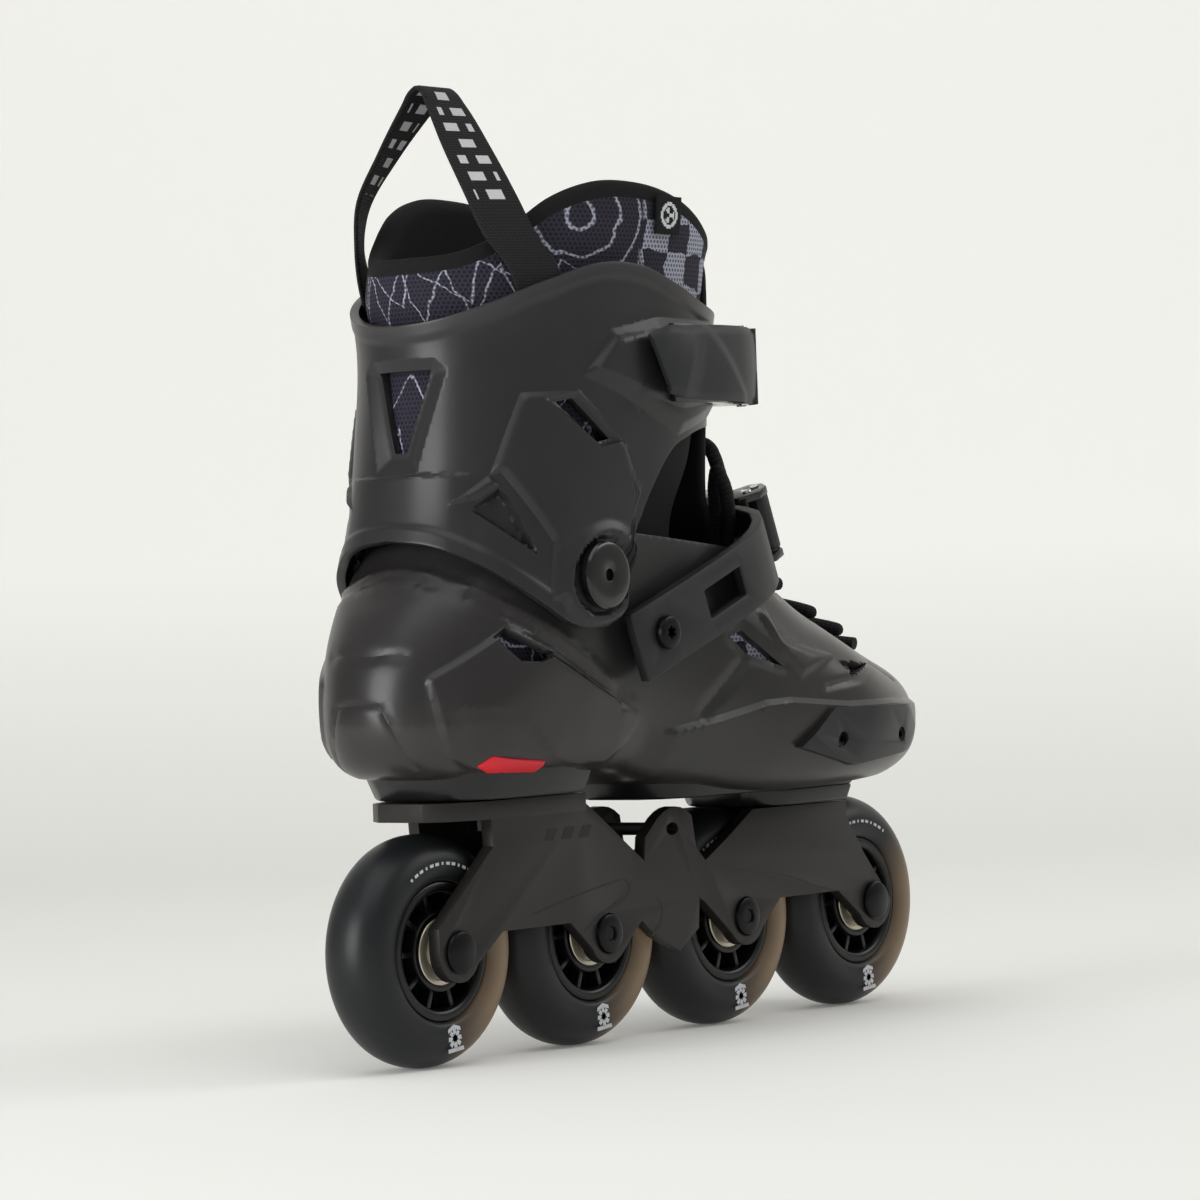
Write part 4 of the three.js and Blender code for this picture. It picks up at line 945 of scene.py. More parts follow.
# %% The shell's lines
HEEL_PANEL = [(38, 139.5), (18, 127), (19, 123), (23, 101), (30, 96.5), (100, 96), (112, 112), (98, 116.5),
              (62, 136), (44, 143)]
SIDE_OPENING = [(38.5, 139), (43, 142), (62, 133.5), (98, 116), (81, 123), (62, 132), (57, 130.6), (48, 131)]
LOW_PLATE = [(24, 116), (45, 116), (71, 101), (91, 97), (91, 92), (24, 92)]
PAD_SEAT = [(31, 99.2), (37, 102.2), (68, 99.6), (69, 98), (67, 96.3), (35, 97)]
HEEL_LINES = [[(-13, 134), (14, 134)], [(-7, 119), (7, 118), (15, 98)], [(-7, 119), (-15, 98)]]
LIP_TOP = [(0, 163.5), (15, 162), (32, 157), (46, 151), (66, 143), (82, 133), (98, 122), (114, 113)]
LIP_LOW = [(0, 160.5), (15, 157), (32, 151), (46, 145), (62, 136.6), (80, 127), (98, 117.6), (114, 110)]
BUMPER = [(114, 110), (123, 106), (150, 110), (171, 114), (183, 114.5), (212, 112), (242, 112), (262, 111),
          (297, 110)]
VALLEY = [(141, 111.5), (161, 127)]
VENT_REAR = [(156, 136), (162, 138), (176, 128.5), (181, 125), (163, 130)]
VENT_FRONT = [(211, 126), (234, 124.4), (216, 120)]
BRIDGE = [(169, 146), (180, 130), (189, 120.5), (211, 128), (182, 135), (176, 147)]
TOE_CAP = [(202, 117), (221, 120), (240, 124.5), (258, 118)]
LIP_STEP, PANEL_SLOPE = 2.0, 2.2
LIP_SOFT, LIP_PASSES = 5.0, 4
OUTER_SIDE, INNER_SIDE = -1, 1


def shell_relief(s, z, strap_share):
    """How far the shell's face stands proud of the plain form. strap_share is 1 under the instep strap."""
    lip_top = np.interp(s, *zip(*LIP_TOP))
    fade = share((114 - s) / 14)
    out = 1.3 * share((lip_top - z) / LIP_STEP) * fade
    out += groove(s, z, LIP_LOW, 1.2, 1.8) * fade
    out += plate(s, z, HEEL_PANEL, 1.4, PANEL_SLOPE) * share((112 - s) / 30)
    out += plate(s, z, LOW_PLATE, -0.6, 1.2)
    out += plate(s, z, PAD_SEAT, -1.0, 0.6)
    for line in HEEL_LINES:
        out += groove(s, z, line, 0.7, 1.1)
    bumper_top = np.interp(s, *zip(*BUMPER))
    out += 1.5 * share((bumper_top - z) / LIP_STEP) * share((s - 116) / 12)
    out += groove(s, z, VALLEY, 0.9, 4.0) + plate(s, z, BRIDGE, 1.1, 2.5)
    out += groove(s, z, TOE_CAP, 0.8, 1.6) - 0.6 * share((inside_distance(s, z, VENT_REAR) + 3) / 1.5)
    return np.where(out > 0, out * (1 - strap_share), out)


def make_shell():
    bm = foot_grid(184, 216)
    bmesh.ops.bisect_plane(bm, geom=[*bm.verts, *bm.edges, *bm.faces], dist=0.05, plane_co=COLLAR_AT,
                           plane_no=(COLLAR_SLOPE, 0, 1), clear_outer=True)
    tree = BVHTree.FromBMesh(bm)
    shapes = [HEEL_PANEL, SIDE_OPENING, LOW_PLATE, PAD_SEAT, VENT_REAR, VENT_FRONT, BRIDGE]
    shapes += [drawn_in(HEEL_PANEL, PANEL_SLOPE), drawn_in(BRIDGE, 2.5)]
    steps = [[(a, b - LIP_STEP) for a, b in line] for line in (LIP_TOP, BUMPER)]
    lines = [*HEEL_LINES, LIP_TOP, LIP_LOW, BUMPER, VALLEY, TOE_CAP, *steps]
    pairs = [p for shape in shapes for p in pairs_of(shape)]
    pairs += [p for line in lines for p in pairs_of(line, closed=False)]
    for (s0, z0), (s1, z1) in pairs:
        pieces = max(1, round(math.hypot(s1 - s0, z1 - z0) / 16))
        for side in (OUTER_SIDE, INNER_SIDE):
            stops = [look_out(tree, s0 + (s1 - s0) * k / pieces, z0 + (z1 - z0) * k / pieces, side)
                     for k in range(pieces + 1)]
            for (a, na), (b, nb) in zip(stops, stops[1:]):
                if a is not None and b is not None and (a - b).length > 0.3:
                    score(bm, a, b, (na + nb).normalized(), reach=2.5)
    for y in (-TONGUE_GAP, TONGUE_GAP):
        score(bm, (12, y, 165), (104, y, 126), (0, 0, 1), reach=60)
    score(bm, (104, -TONGUE_GAP, 128), (104, TONGUE_GAP, 128), (0, 0, 1))

    middles = np.array([f.calc_center_median() for f in bm.faces])
    s, z = along_side(middles), middles[:, 2]
    sideways = np.array([abs(f.normal.y) > 0.15 or f.normal.x < -0.5 for f in bm.faces])
    gone = np.zeros(len(middles), bool)
    for hole in (SIDE_OPENING, VENT_REAR, VENT_FRONT):
        gone |= (inside_distance(s, z, hole) > 0) & sideways
    gone |= (np.abs(middles[:, 1]) < TONGUE_GAP) & (middles[:, 0] > 8) & (middles[:, 0] < 104) & (z > 120)
    delete_faces(bm, gone)

    bm.normal_update()
    at = places_of(bm)
    normals = np.array([v.normal for v in bm.verts])
    from_strap = at - INSTEP_ORIGIN
    across = np.abs(from_strap @ INSTEP_C)
    strap_share = share((19 - across) / 4) * (from_strap @ INSTEP_A > -22)
    out = shell_relief(along_side(at), at[:, 2], strap_share)
    out *= share(np.abs(normals[:, :2]).sum(1) * 2) * share((144 - at[:, 0]) / 6)
    placed = at + normals * out[:, None]
    reach = (placed - INSTEP_ORIGIN) @ INSTEP_A
    push = np.maximum(reach - 76.4, 0) * share((20.5 - across) / 2.2)
    placed -= push[:, None] * INSTEP_A
    # Painted light: the through-light tone grows towards the toe and low on the heel, with a little everywhere.
    thin = 0.2 + np.clip((placed[:, 0] - 20) / 90, 0, 0.8) + 0.5 * share((-95 - placed[:, 0]) / 60) * (
        placed[:, 2] < 112)
    lay(bm, placed, thin=thin)
    near_lip = np.abs(at[:, 2] - np.interp(along_side(at), *zip(*LIP_TOP)) + LIP_STEP) < LIP_SOFT
    lip = [v for v, near in zip(bm.verts, near_lip & (along_side(at) < 112)) if near and not v.is_boundary]
    for _ in range(LIP_PASSES):
        bmesh.ops.smooth_vert(bm, verts=lip, factor=0.5, use_axis_x=True, use_axis_y=True, use_axis_z=True)
    return keep(bm, "shell_moulding", SHELL, "boot", ["shell"], wall=3.0, edge=0.6, edge_angle=50,
                sharp=32)


shell = make_shell()
print("shell", len(shell.data.polygons), "faces")

# %% [markdown]
# Under the shell, two stepped blocks carry the chassis: a wide one under the heel and a deeper one under the
# ball of the foot. A red pad shows through the heel, where the shock absorber reaches the side.

# %% Sole blocks and the red pads


def prism(outline, low, high, taper=0.0):
    """A block standing on a flat outline of (x, y) corners, its top drawn in by the taper."""
    bm = bmesh.new()
    verts = [bm.verts.new((x, y, low)) for x, y in outline]
    base = bm.faces.new(verts)
    made = bmesh.ops.extrude_face_region(bm, geom=[base])["geom"]
    top = [v for v in made if isinstance(v, bmesh.types.BMVert)]
    middle = Vector((sum(v.co.x for v in top), sum(v.co.y for v in top), 0)) / len(top)
    for v in top:
        way = (v.co - middle)
        v.co = Vector((v.co.x - taper * (1 if way.x > 0 else -1), v.co.y - taper * (1 if way.y > 0 else -1),
                       high))
    bmesh.ops.recalc_face_normals(bm, faces=bm.faces)
    return bm


def add_to(bm, other):
    """Adds one bmesh's shape to another."""
    mesh = bpy.data.meshes.new("part")
    other.to_mesh(mesh)
    other.free()
    bm.from_mesh(mesh)
    bpy.data.meshes.remove(mesh)


def nosed(x0, x1, half):
    side = [(x0, 0.45 * half), (x0 + 5, 0.76 * half), (x0 + 16, half), (x1 - 4, half), (x1, half - 4)]
    return side + [(x, -y) for x, y in reversed(side)]


sole = prism(nosed(-117, -54, 25), 86.5, 97, -3)
add_to(sole, prism(nosed(-12, 99, 24), 81.2, 90, -4))
add_to(sole, prism(nosed(47, 99, 22), 75.5, 81.4, -1.5))
keep(sole, "sole_blocks", SHELL, "boot", edge=1.2)
FOOT_TREE = BVHTree.FromBMesh(foot_grid(120, 120))


def make_red_pads():
    bm = bmesh.new()
    middle = (sum(s for s, _ in PAD_SEAT) / len(PAD_SEAT), sum(z for _, z in PAD_SEAT) / len(PAD_SEAT))
    for side in (OUTER_SIDE, INNER_SIDE):
        rims = []
        for size, out in ((1.0, 1.2), (1.0, 2.0), (0.9, 2.5)):
            ring = []
            for s, z in PAD_SEAT:
                place, normal = look_out(FOOT_TREE, middle[0] + (s - middle[0]) * size * 0.97,
                                         middle[1] + (z - middle[1]) * size * 0.93, side)
                ring.append(bm.verts.new(place + normal * out))
            rims.append(ring)
        skin(bm, rims)
    return keep(bm, "red_pads", RED, "boot", edge=0.25, sharp=30)


print("red pads", len(make_red_pads().data.polygons), "faces")

# %% [markdown]
# ## Soft goods
# The liner stands inside the cuff as one padded sleeve: printed mesh outside, a thick neoprene roll along its
# top edge and a neoprene lining. Its rows follow one closed profile, up the outside, over the roll and down
# the inside, and the foam swells a little between the seams.

# %% The liner's sleeve
SLEEVE_TOP = [(-140, 262), (-118, 262.5), (-104, 265), (-92, 271), (-76, 282), (-60, 287.5), (-40, 288.5),
              (-14, 284), (10, 275), (28, 268), (60, 262)]
SLEEVE_LOW = 156
ROLL_R = 4.4
SLEEVE_T = 7.0
LINING_DEPTH = 62
SWELL = 1.1
BOLT_CLEAR_Y = 33.2


def sleeve_inset(z):
    """How far inside the leg's form the sleeve's outer face lies: it narrows to enter the shell."""
    return glide(z, (150, 178, 197, 240, 262, 300), (12.8, 12.6, 6.6, 6.2, 6.6, 7.5))


def make_sleeve():
    columns, out_rows, roll_rows, in_rows = 220, 84, 10, 40
    rows = out_rows + roll_rows + in_rows
    bm, across, up = grid(columns, rows)
    s = across * 2 * LEG_ARC[-1] * 0.999
    row = (up + 0.5) * rows
    turn = leg_turn(s)
    edge_x = leg_at(turn, np.full(len(s), 280.0), 7)[:, 0]
    top = glide(edge_x, *zip(*SLEEVE_TOP)) - ROLL_R
    up = share(row / out_rows)
    over = share((row - out_rows) / roll_rows) * math.pi
    down = share((row - out_rows - roll_rows) / in_rows)
    z = np.where(down > 0, top - LINING_DEPTH * down, SLEEVE_LOW + (top - SLEEVE_LOW) * up)
    z += ROLL_R * np.sin(over)
    inward = np.where(down > 0, SLEEVE_T, SLEEVE_T / 2 * (1 - np.cos(over)))
    swell = SWELL * np.sin(share((z - 236) / 26) * math.pi) * (over == 0)
    inset = sleeve_inset(z) + inward - swell - 0.9 * np.sin(over)
    placed = leg_at(turn, z, 0)
    placed = placed + wrap_leg(s, z, -inset) - wrap_leg(s, z, np.zeros(len(s)))
    dish = share(1 - np.hypot(placed[:, 0] - PIVOT_X, placed[:, 2] - PIVOT_Z) / 14)
    placed[:, 1] = np.where(dish > 0, np.clip(placed[:, 1], -BOLT_CLEAR_Y, BOLT_CLEAR_Y), placed[:, 1])
    lay(bm, placed, around=s, up=z)
    for face in bm.faces:
        rolled = max(v.index // (columns + 1) for v in face.verts) > out_rows - 1
        middle = face.calc_center_median()
        face.material_index = int(rolled or (middle.x > -58 and middle.z < 226))
    bmesh.ops.recalc_face_normals(bm, faces=bm.faces)
    piece = keep(bm, "liner_sleeve", [LINER, NEOPRENE], None, ["liner_collar"], sharp=180)
    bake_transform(piece)
    return piece


sleeve = make_sleeve()


def make_label():
    """A small sewn patch on the outer side, just under the roll, with a plain ringed mark."""
    bm, across, up = grid(20, 20)
    s, z = 108 + across * 14, 277.5 + up * 13
    radius, turn = np.hypot(across, up), np.arctan2(up, across)
    lay(bm, wrap_leg(s, z, 2.0 - sleeve_inset(z)))
    for face in bm.faces:
        r = np.mean([radius[v.index] for v in face.verts])
        a = np.mean([math.cos(3 * turn[v.index]) for v in face.verts])
        face.material_index = int(0.24 < r < 0.34 or (r < 0.2 and a > 0.2))
    return keep(bm, "liner_label", [NEOPRENE, WHITE_MARK], "cuff", wall=0.9, sharp=180)


make_label()
print("liner sleeve", len(sleeve.data.polygons), "faces")

# %% [markdown]
# Inside the shell the liner goes on as a sock, on the same form as the shell but a wall's thickness
# smaller. It is dented where the ankle bolts and the instep strap press on it, and rests on the footbed
# under the heel.

# %% The liner's foot
PAD_TOP_Z = 103


def make_liner_foot():
    bm = foot_grid(120, 130, 3.7)
    bmesh.ops.bisect_plane(bm, geom=[*bm.verts, *bm.edges, *bm.faces], dist=0.05, plane_co=(0, 0, 163),
                           plane_no=(0, 0, 1), clear_outer=True)
    bmesh.ops.recalc_face_normals(bm, faces=bm.faces)
    at = places_of(bm)
    across = np.abs((at - INSTEP_ORIGIN) @ INSTEP_C)
    push = np.maximum((at - INSTEP_ORIGIN) @ INSTEP_A - 73.5, 0) * share((23 - across) / 4)
    at -= push[:, None] * INSTEP_A
    dish = np.hypot(at[:, 0] - PIVOT_X, at[:, 2] - PIVOT_Z) < 10
    at[:, 1] = np.where(dish, np.clip(at[:, 1], -BOLT_CLEAR_Y, BOLT_CLEAR_Y), at[:, 1])
    heel = (at[:, 0] < -54) & (at[:, 2] < PAD_TOP_Z)
    at[:, 2] = np.where(heel, PAD_TOP_Z, at[:, 2])
    lay(bm, at, around=along_side(at) + 15, up=at[:, 2] + 118)
    piece = keep(bm, "liner_foot_sock", [LINER, NEOPRENE], "boot", ["liner_foot"], wall=5.0,
                 sharp=180,
                 lining=1)
    return piece


print("liner foot", len(make_liner_foot().data.polygons), "faces")

# %% [markdown]
# The tongue is a long padded panel that lies in the instep gap, bulges forward over the ankle and stands up
# between the front edges of the sleeve. It is a lofted pillow: each station gives its place, half-width and
# thickness, and the section is a rounded lens with its edges thinned to a bound rim.

# %% The tongue
TONGUE = [  # x, z, half-width, thickness
    (101, 125.5, 10, 3.0), (92, 129.5, 13.6, 4.0), (80, 135, 14.2, 5.0), (66, 142.5, 14.4, 6.0),
    (52, 150, 14.6, 7.0),
    (40, 156, 15.5, 8), (30, 165, 17.5, 9), (24, 177, 20, 10), (21, 190, 23, 10), (19.5, 203, 26, 10),
    (19.5, 217, 28, 9.5), (20, 232, 29, 9), (20.5, 244, 29, 9), (21.5, 254, 28, 9), (23, 263, 25, 9),
    (24, 269, 18, 7), (24.4, 271.5, 8, 4),
]


def make_tongue():
    known = np.arange(len(TONGUE))
    table = np.array(TONGUE, float)
    bm, round_it, up = grid(48, 120)
    t = (up + 0.5) * (len(TONGUE) - 1)
    turn = (round_it + 0.5) * 2 * math.pi
    x, z, half, thick = (glide(t, known, table[:, i]) for i in range(4))
    ahead, rise = (glide(t + 0.02, known, table[:, i]) - glide(t - 0.02, known, table[:, i]) for i in (0, 1))
    size = np.hypot(ahead, rise)
    out_x, out_z = rise / size, -ahead / size
    out_x, out_z = np.where(out_x < 0, -out_x, out_x), np.where(out_x < 0, -out_z, out_z)
    side = half * signed_power(np.cos(turn), 0.8)
    bulge = thick / 2 * signed_power(np.sin(turn), 0.8)
    channel = 0.7 * share(1 - np.abs(np.abs(side) - half * 0.62) / 2.2) * (np.sin(turn) > 0)
    curl = -0.010 * side * side * share((z - 165) / 20)
    lift = bulge - channel + curl
    placed = np.stack([x + out_x * lift, side, z + out_z * lift], -1)
    lay(bm, placed, around=side, up=z)
    bmesh.ops.remove_doubles(bm, verts=bm.verts, dist=0.02)
    ends = [e for e in bm.edges if len(e.link_faces) == 1]
    bmesh.ops.holes_fill(bm, edges=ends)
    bmesh.ops.recalc_face_normals(bm, faces=bm.faces)
    piece = keep(bm, "tongue", NEOPRENE, None, sharp=180)
    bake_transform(piece)
    return piece


tongue = make_tongue()
print("tongue", len(tongue.data.polygons), "faces")

# %% [markdown]
# The pull strap is one length of webbing, sewn to the liner's two back corners and folded to a point above
# the heel. Its wide faces carry a woven pattern of light blocks.

# %% The pull strap and the lace


def swept(name, line, across, section, around, finish, body, replaces=(), printed=(0, 0), sharp=50):
    """Carries a section of (sideways, outwards) points along a line. across is its sideways direction at each
    point of the line, around numbers the section's points for the finish, and printed is the stretch that
    carries marks.
    """
    across = unit(across)
    outs = unit(np.cross(across, ways_along(line)))
    bm = bmesh.new()
    layers = [bm.verts.layers.float.new(layer) for layer in ("around", "up", "printed")]
    rings = []
    for place, side, out, length in zip(line, across, outs, ruler_along(line)):
        rings.append([bm.verts.new(place + side * a + out * b) for a, b in section])
        for vert, label in zip(rings[-1], around):
            for layer, number in zip(layers, (label, length, float(printed[0] < length < printed[1]))):
                vert[layer] = number
    skin(bm, rings)
    return keep(bm, name, finish, body, replaces, sharp=sharp)


def tape_section(width, thickness):
    """A flat band's section, with its corners eased."""
    h, w = thickness / 2, width / 2
    ring = [(-w, 0), (-w + h * 0.5, h * 0.8), (-w + h * 1.5, h)] + [(w * k / 5, h) for k in range(-4, 5)]
    ring += [(w - h * 1.5, h), (w - h * 0.5, h * 0.8), (w, 0)]
    return ring + [(a, -b) for a, b in reversed(ring[1:-1])]


PULL_SIDE = [  # x, y, z, and the direction of the width in x and y
    (-84.5, 37.6, 248, 0.88, 0.47), (-88.5, 36.6, 258, 0.88, 0.47), (-95.6, 32.4, 270, 0.82, 0.57),
    (-98.5, 28, 282, 0.85, 0.5), (-97, 17, 299, 0.92, 0.35), (-94, 6, 314, 1, 0.1), (-93.2, 2.2, 318.6, 1, 0),
]
pull = [(x, -y, z, wx, -wy) for x, y, z, wx, wy in PULL_SIDE] + [(-93, 0, 319.8, 1, 0)]
pull = smooth_line(pull + PULL_SIDE[::-1], 150)
pull_across = np.pad(pull[:, 3:5], ((0, 0), (0, 1)))
pull_section = tape_section(18, 1.6)
swept("pull_strap_webbing", pull[:, :3], pull_across, pull_section, [a for a, _ in pull_section],
      PATTERN_WEBBING,
      "cuff", ["pull_strap"], printed=(34, 128))

LACE_ROUTE = [(110, -17, 131), (107, 0, 133), (104, 18, 133), (99, 0, 137), (94, -21, 136.5), (90, 0, 140.5),
              (86, 21, 139.5), (81, 0, 144.5), (77, -22, 143), (73, 0, 148), (69, 22, 147.5), (65, 0, 152.5),
              (61, -20, 153.5)]
LACE_R, LOOP_R = 2.3, 2.5


def cord(name, points, radius, count, body, replaces=(), sides=12):
    line = smooth_line(points, count)
    across = np.cross(ways_along(line), (0, 0, 1.0))
    turns = [2 * math.pi * k / sides for k in range(sides)]
    section = [(math.cos(a) * radius, math.sin(a) * radius) for a in turns]
    return swept(name, line, across, section, turns, LACE, body, replaces, sharp=60)


cord("lace_cord", LACE_ROUTE, LACE_R, 260, "boot", ["lace"])
# Two cords stand in loops from the last eyelets, in front of the tongue.
LOOPS = {
    "front": [(35, -11, 160), (35.5, -16, 170), (32, -19, 183), (29, -19.5, 194), (28, -17, 201),
              (29.5, -12, 203),
              (31.5, -8, 197), (33, -6.5, 185), (34.5, -7.5, 172), (35, -9, 163)],
    "rear": [(31, -16, 160), (31, -21, 170), (28, -24, 180), (25.5, -24.5, 188), (25, -22, 193),
             (27, -19.5, 190),
             (29.5, -17.5, 180), (31, -16.5, 169), (31, -16, 163)],
}
for name, route in LOOPS.items():
    loop = cord(f"lace_loop_{name}", route, LOOP_R, 90, None)
    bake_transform(loop)
print("pull strap and lace made")

# %% [markdown]
# ## Wheels
# Each wheel is a tyre cast round a moulded hub with two sealed bearings. The parts are turned profiles, made
# once at the origin and moved to each axle.

# %% Turned parts
WHEEL_R = 38.0
HUB_R = 22.5
RIB_STEP = 36
MARK_R = 28.6
AXLES = {"rear": -115.5, "mid_rear": -38.5, "mid_front": 38.5, "front": 115.5}


def turned(profile, steps=96, close=False):
    """Spins (radius, y) points about the Y axis into a bmesh."""
    bm = bmesh.new()
    verts = [bm.verts.new((r, y, 0)) for r, y in profile]
    edges = [bm.edges.new(pair) for pair in zip(verts, verts[1:])]
    if close:
        edges.append(bm.edges.new((verts[-1], verts[0])))
    bmesh.ops.spin(bm, geom=verts + edges, cent=(0, 0, 0), axis=(0, 1, 0), dvec=(0, 0, 0), angle=2 * math.pi,
                   steps=steps, use_merge=True)
    bmesh.ops.remove_doubles(bm, verts=bm.verts, dist=0.005)
    bmesh.ops.recalc_face_normals(bm, faces=bm.faces)
    return bm


def both_halves(half):
    """A closed profile from the half with y above 0, mirrored."""
    return half + [(r, -y) for r, y in reversed(half)]


def moved_to(bm, x, z=WHEEL_R, y=0.0):
    bmesh.ops.translate(bm, verts=bm.verts, vec=(x, y, z))
    return bm


TYRE_HALF = [(38, 0.001), (37.9, 2), (37.5, 4.2), (36.6, 6.6), (35.1, 8.8), (33, 10.6), (30.4, 11.7),
             (27.6, 12),
             (25.2, 11.75), (23.6, 11.2), (22.9, 10.4), (HUB_R + 0.1, 9.6)]
HUB_HALF = [(HUB_R, 10.4), (20.6, 10.7), (19.4, 10.2), (18.6, 8.6), (18.4, 3.6), (13.6, 3.4), (13.4, 8.6),
            (12.9, 10), (11.05, 10), (11.05, 2.9), (11.05, 0.001)]


def rounded(points, per_gap=3):
    line = smooth_line(np.array(points, float), (len(points) - 1) * per_gap + 1)
    return [tuple(p) for p in line]


def make_tyre(place, x):
    bm = turned(both_halves(rounded(TYRE_HALF)), 128, close=True)
    # reach holds the painted glow: strongest on the outer tread towards the front and a little down, on a fixed
    # side of the wheel that turns with it.
    reach = bm.verts.layers.float.new("reach")
    for v in bm.verts:
        out = math.hypot(v.co.x, v.co.z)
        forward = (v.co.x * 0.95 - v.co.z * 0.3) / out
        v[reach] = share((out / WHEEL_R - 0.45) / 0.3) * share((forward - 0.3) / 0.6) ** 1.3
    return keep(moved_to(bm, x), f"tyre_{place}_cast", TYRE, f"wheel_{place}", [f"tyre_{place}"],
                sharp=60)


def make_hub(place, x):
    """A barrel and a rim ring, joined by a disc with ten windows and a rib beside each."""
    bm = turned(both_halves(HUB_HALF), 120, close=True)
    gone = []
    for face in bm.faces:
        c = face.calc_center_median()
        in_disc = abs(face.normal.y) > 0.95 and abs(c.y) < 4.5 and 13.7 < math.hypot(c.x, c.z) < 18.3
        gone.append(in_disc and 7 < math.degrees(math.atan2(c.z, c.x)) % RIB_STEP < 29)
    delete_faces(bm, gone)
    for k in range(360 // RIB_STEP):
        angle = math.radians(RIB_STEP * k)
        rib = prism([(13.2, -0.9), (18.9, -0.9), (18.9, 0.9), (13.2, 0.9)], -8.8, 8.8)
        bmesh.ops.rotate(rib, verts=rib.verts, matrix=Matrix.Rotation(math.pi / 2, 3, "X"))
        bmesh.ops.rotate(rib, verts=rib.verts, matrix=Matrix.Rotation(angle, 3, "Y"))
        add_to(bm, rib)
    return keep(moved_to(bm, x), f"hub_{place}_moulded", HUB, f"wheel_{place}", [f"hub_{place}"],
                edge=0.25,
                sharp=35)


BEARING_HALF = [(4.1, 0), (4.1, 6.8), (4.5, 7), (6.0, 7), (6.3, 6.7), (6.3, 6.35), (9.1, 6.35), (9.1, 6.7),
                (9.4, 7),
                (10.7, 7), (10.98, 6.7), (10.98, 0)]


def make_bearing(place, x, side):
    bm = turned([(r, side * (y + 3.1)) for r, y in BEARING_HALF], 72, close=True)
    name = "outer" if side < 0 else "inner"
    return keep(moved_to(bm, x), f"bearing_{name}_{place}_sealed", BEARING, f"wheel_{place}",
                [f"bearing_{name}_{place}"], sharp=30)


def make_marks(place, x):
    """Printed marks on the tyre's outer face: a small crossed badge low down and a dashed arc above."""
    bm = bmesh.new()
    face_y = -12.05

    def dab(corners, radius, turn, tilt=0.0, size=1.3):
        verts = []
        for a, b in corners:
            a, b = a * size, b * size
            a2 = a * math.cos(tilt) - b * math.sin(tilt)
            b2 = a * math.sin(tilt) + b * math.cos(tilt)
            r = radius + b2
            where = turn + a2 / radius
            verts.append(bm.verts.new((r * math.cos(where), face_y, r * math.sin(where))))
        bm.faces.new(verts)

    low = math.radians(-84)
    dab([(-2.6, -2.6), (0, -3.6), (2.6, -2.6), (2.6, -1.6), (0, -2.5), (-2.6, -1.6)], MARK_R, low)
    dab([(-2.6, 3.4), (2.6, 3.4), (2.6, 2.4), (-2.6, 2.4)], MARK_R, low)
    for k in range(4):
        dab([(-0.55, -2.4), (0.55, -2.4), (0.55, 2.4), (-0.55, 2.4)], MARK_R, low, k * math.pi / 4)
    for k in range(13):
        width = 1.9 if k % 3 else 0.9
        dab([(-width / 2, -0.55), (width / 2, -0.55), (width / 2, 0.55), (-width / 2, 0.55)], MARK_R,
            math.radians(58 + k * 5.4), size=0.9)
    face_outwards(bm)
    return keep(moved_to(bm, x), f"tyre_{place}_print", WHITE_MARK, f"wheel_{place}", wall=0.08,
                sharp=30)


for place, x in AXLES.items():
    make_tyre(place, x)
    make_hub(place, x)
    for side in (OUTER_SIDE, INNER_SIDE):
        make_bearing(place, x, side)
    make_marks(place, x)
print("wheels made at", list(AXLES.values()))

# %% [markdown]
# ## Chassis, bolts and buckles
# These pieces keep the frame's own shapes. Their flat facets are joined, their edges are rounded the way each
# part is made, and the details that were too small for the frame are added: slits in the walls as flat dark
# strips of painted shade, rivets, screw heads and the teeth of the ladder straps.

# %% Chassis
WALL_OUT = 18.0


def finished(node, finish, body, edge, angle=30, sharp=35):
    """A CAD node's own shape, with its edges rounded."""
    return keep(copy_of(node), f"{node}_finished", finish, body, [node], edge=edge, edge_angle=angle,
                sharp=sharp)


finished("frame", FRAME, "boot", 0.6)

SLIT_SHADE_LINES = [
    ([(-51.6, 39.8), (-45, 42.8), (-39.8, 45.3), (-33, 48), (-28, 50), (-26.4, 52), (-26.7, 54),
      (-29.8, 55.6)], 1.3),
    ([(-11.8, 47.6), (-9.4, 46), (-8.9, 43.5), (-10, 39.5), (-15.2, 35.3)], 1.3),
    ([(11.3, 47.1), (15, 45.4), (19, 42.6), (24, 38.6), (28.6, 34.6)], 1.3),
    ([(-79, 47.1), (-65, 50), (-50.7, 52.6), (-38, 54.6), (-30.4, 55.7)], 0.5),
    ([(25.9, 54.3), (40, 54), (55, 52), (70, 48.6), (84, 44)], 0.5),
]
BADGE = [[(-71, 71), (-66, 71), (-63.6, 75), (-68.6, 75)], [(-62, 71), (-57, 71), (-54.6, 75), (-59.6, 75)],
         [(-53, 71), (-48, 71), (-45.6, 75), (-50.6, 75)]]


def make_slit_shade():
    """Flat dark strips on the outer walls: the slits and the thin lines are painted shade, as nothing is cut,
    and three slanted strokes are dark marks.
    """
    bm = bmesh.new()
    for side in (OUTER_SIDE, INNER_SIDE):
        y = side * (WALL_OUT + 0.06)
        for points, width in SLIT_SHADE_LINES:
            line = smooth_line(np.array(points, float), 36)
            ways = ways_along(line)
            rows = []
            for k, ((x, z), way) in enumerate(zip(line, ways)):
                half = width / 2 * min(1, (min(k, len(line) - 1 - k) + 0.6) / 3)
                rows.append([bm.verts.new((x - way[1] * a, y, z + way[0] * a)) for a in (-half, half)])
            for low, high in zip(rows, rows[1:]):
                bm.faces.new((low[0], low[1], high[1], high[0]))
        for corners in BADGE:
            bm.faces.new([bm.verts.new((x, y, z)) for x, z in corners])
    face_outwards(bm)
    return keep(bm, "wall_slit_shade_and_strokes", HUB, "boot", wall=0.08, sharp=30)


make_slit_shade()

# %% [markdown]
# Screw heads are turned and then given a socket. The axles' caps alternate, blind at the two ends and
# socketed between. The ankle bolts are wide flat discs, and the wear plates are held by two screws each.

# %% Bolts and screws


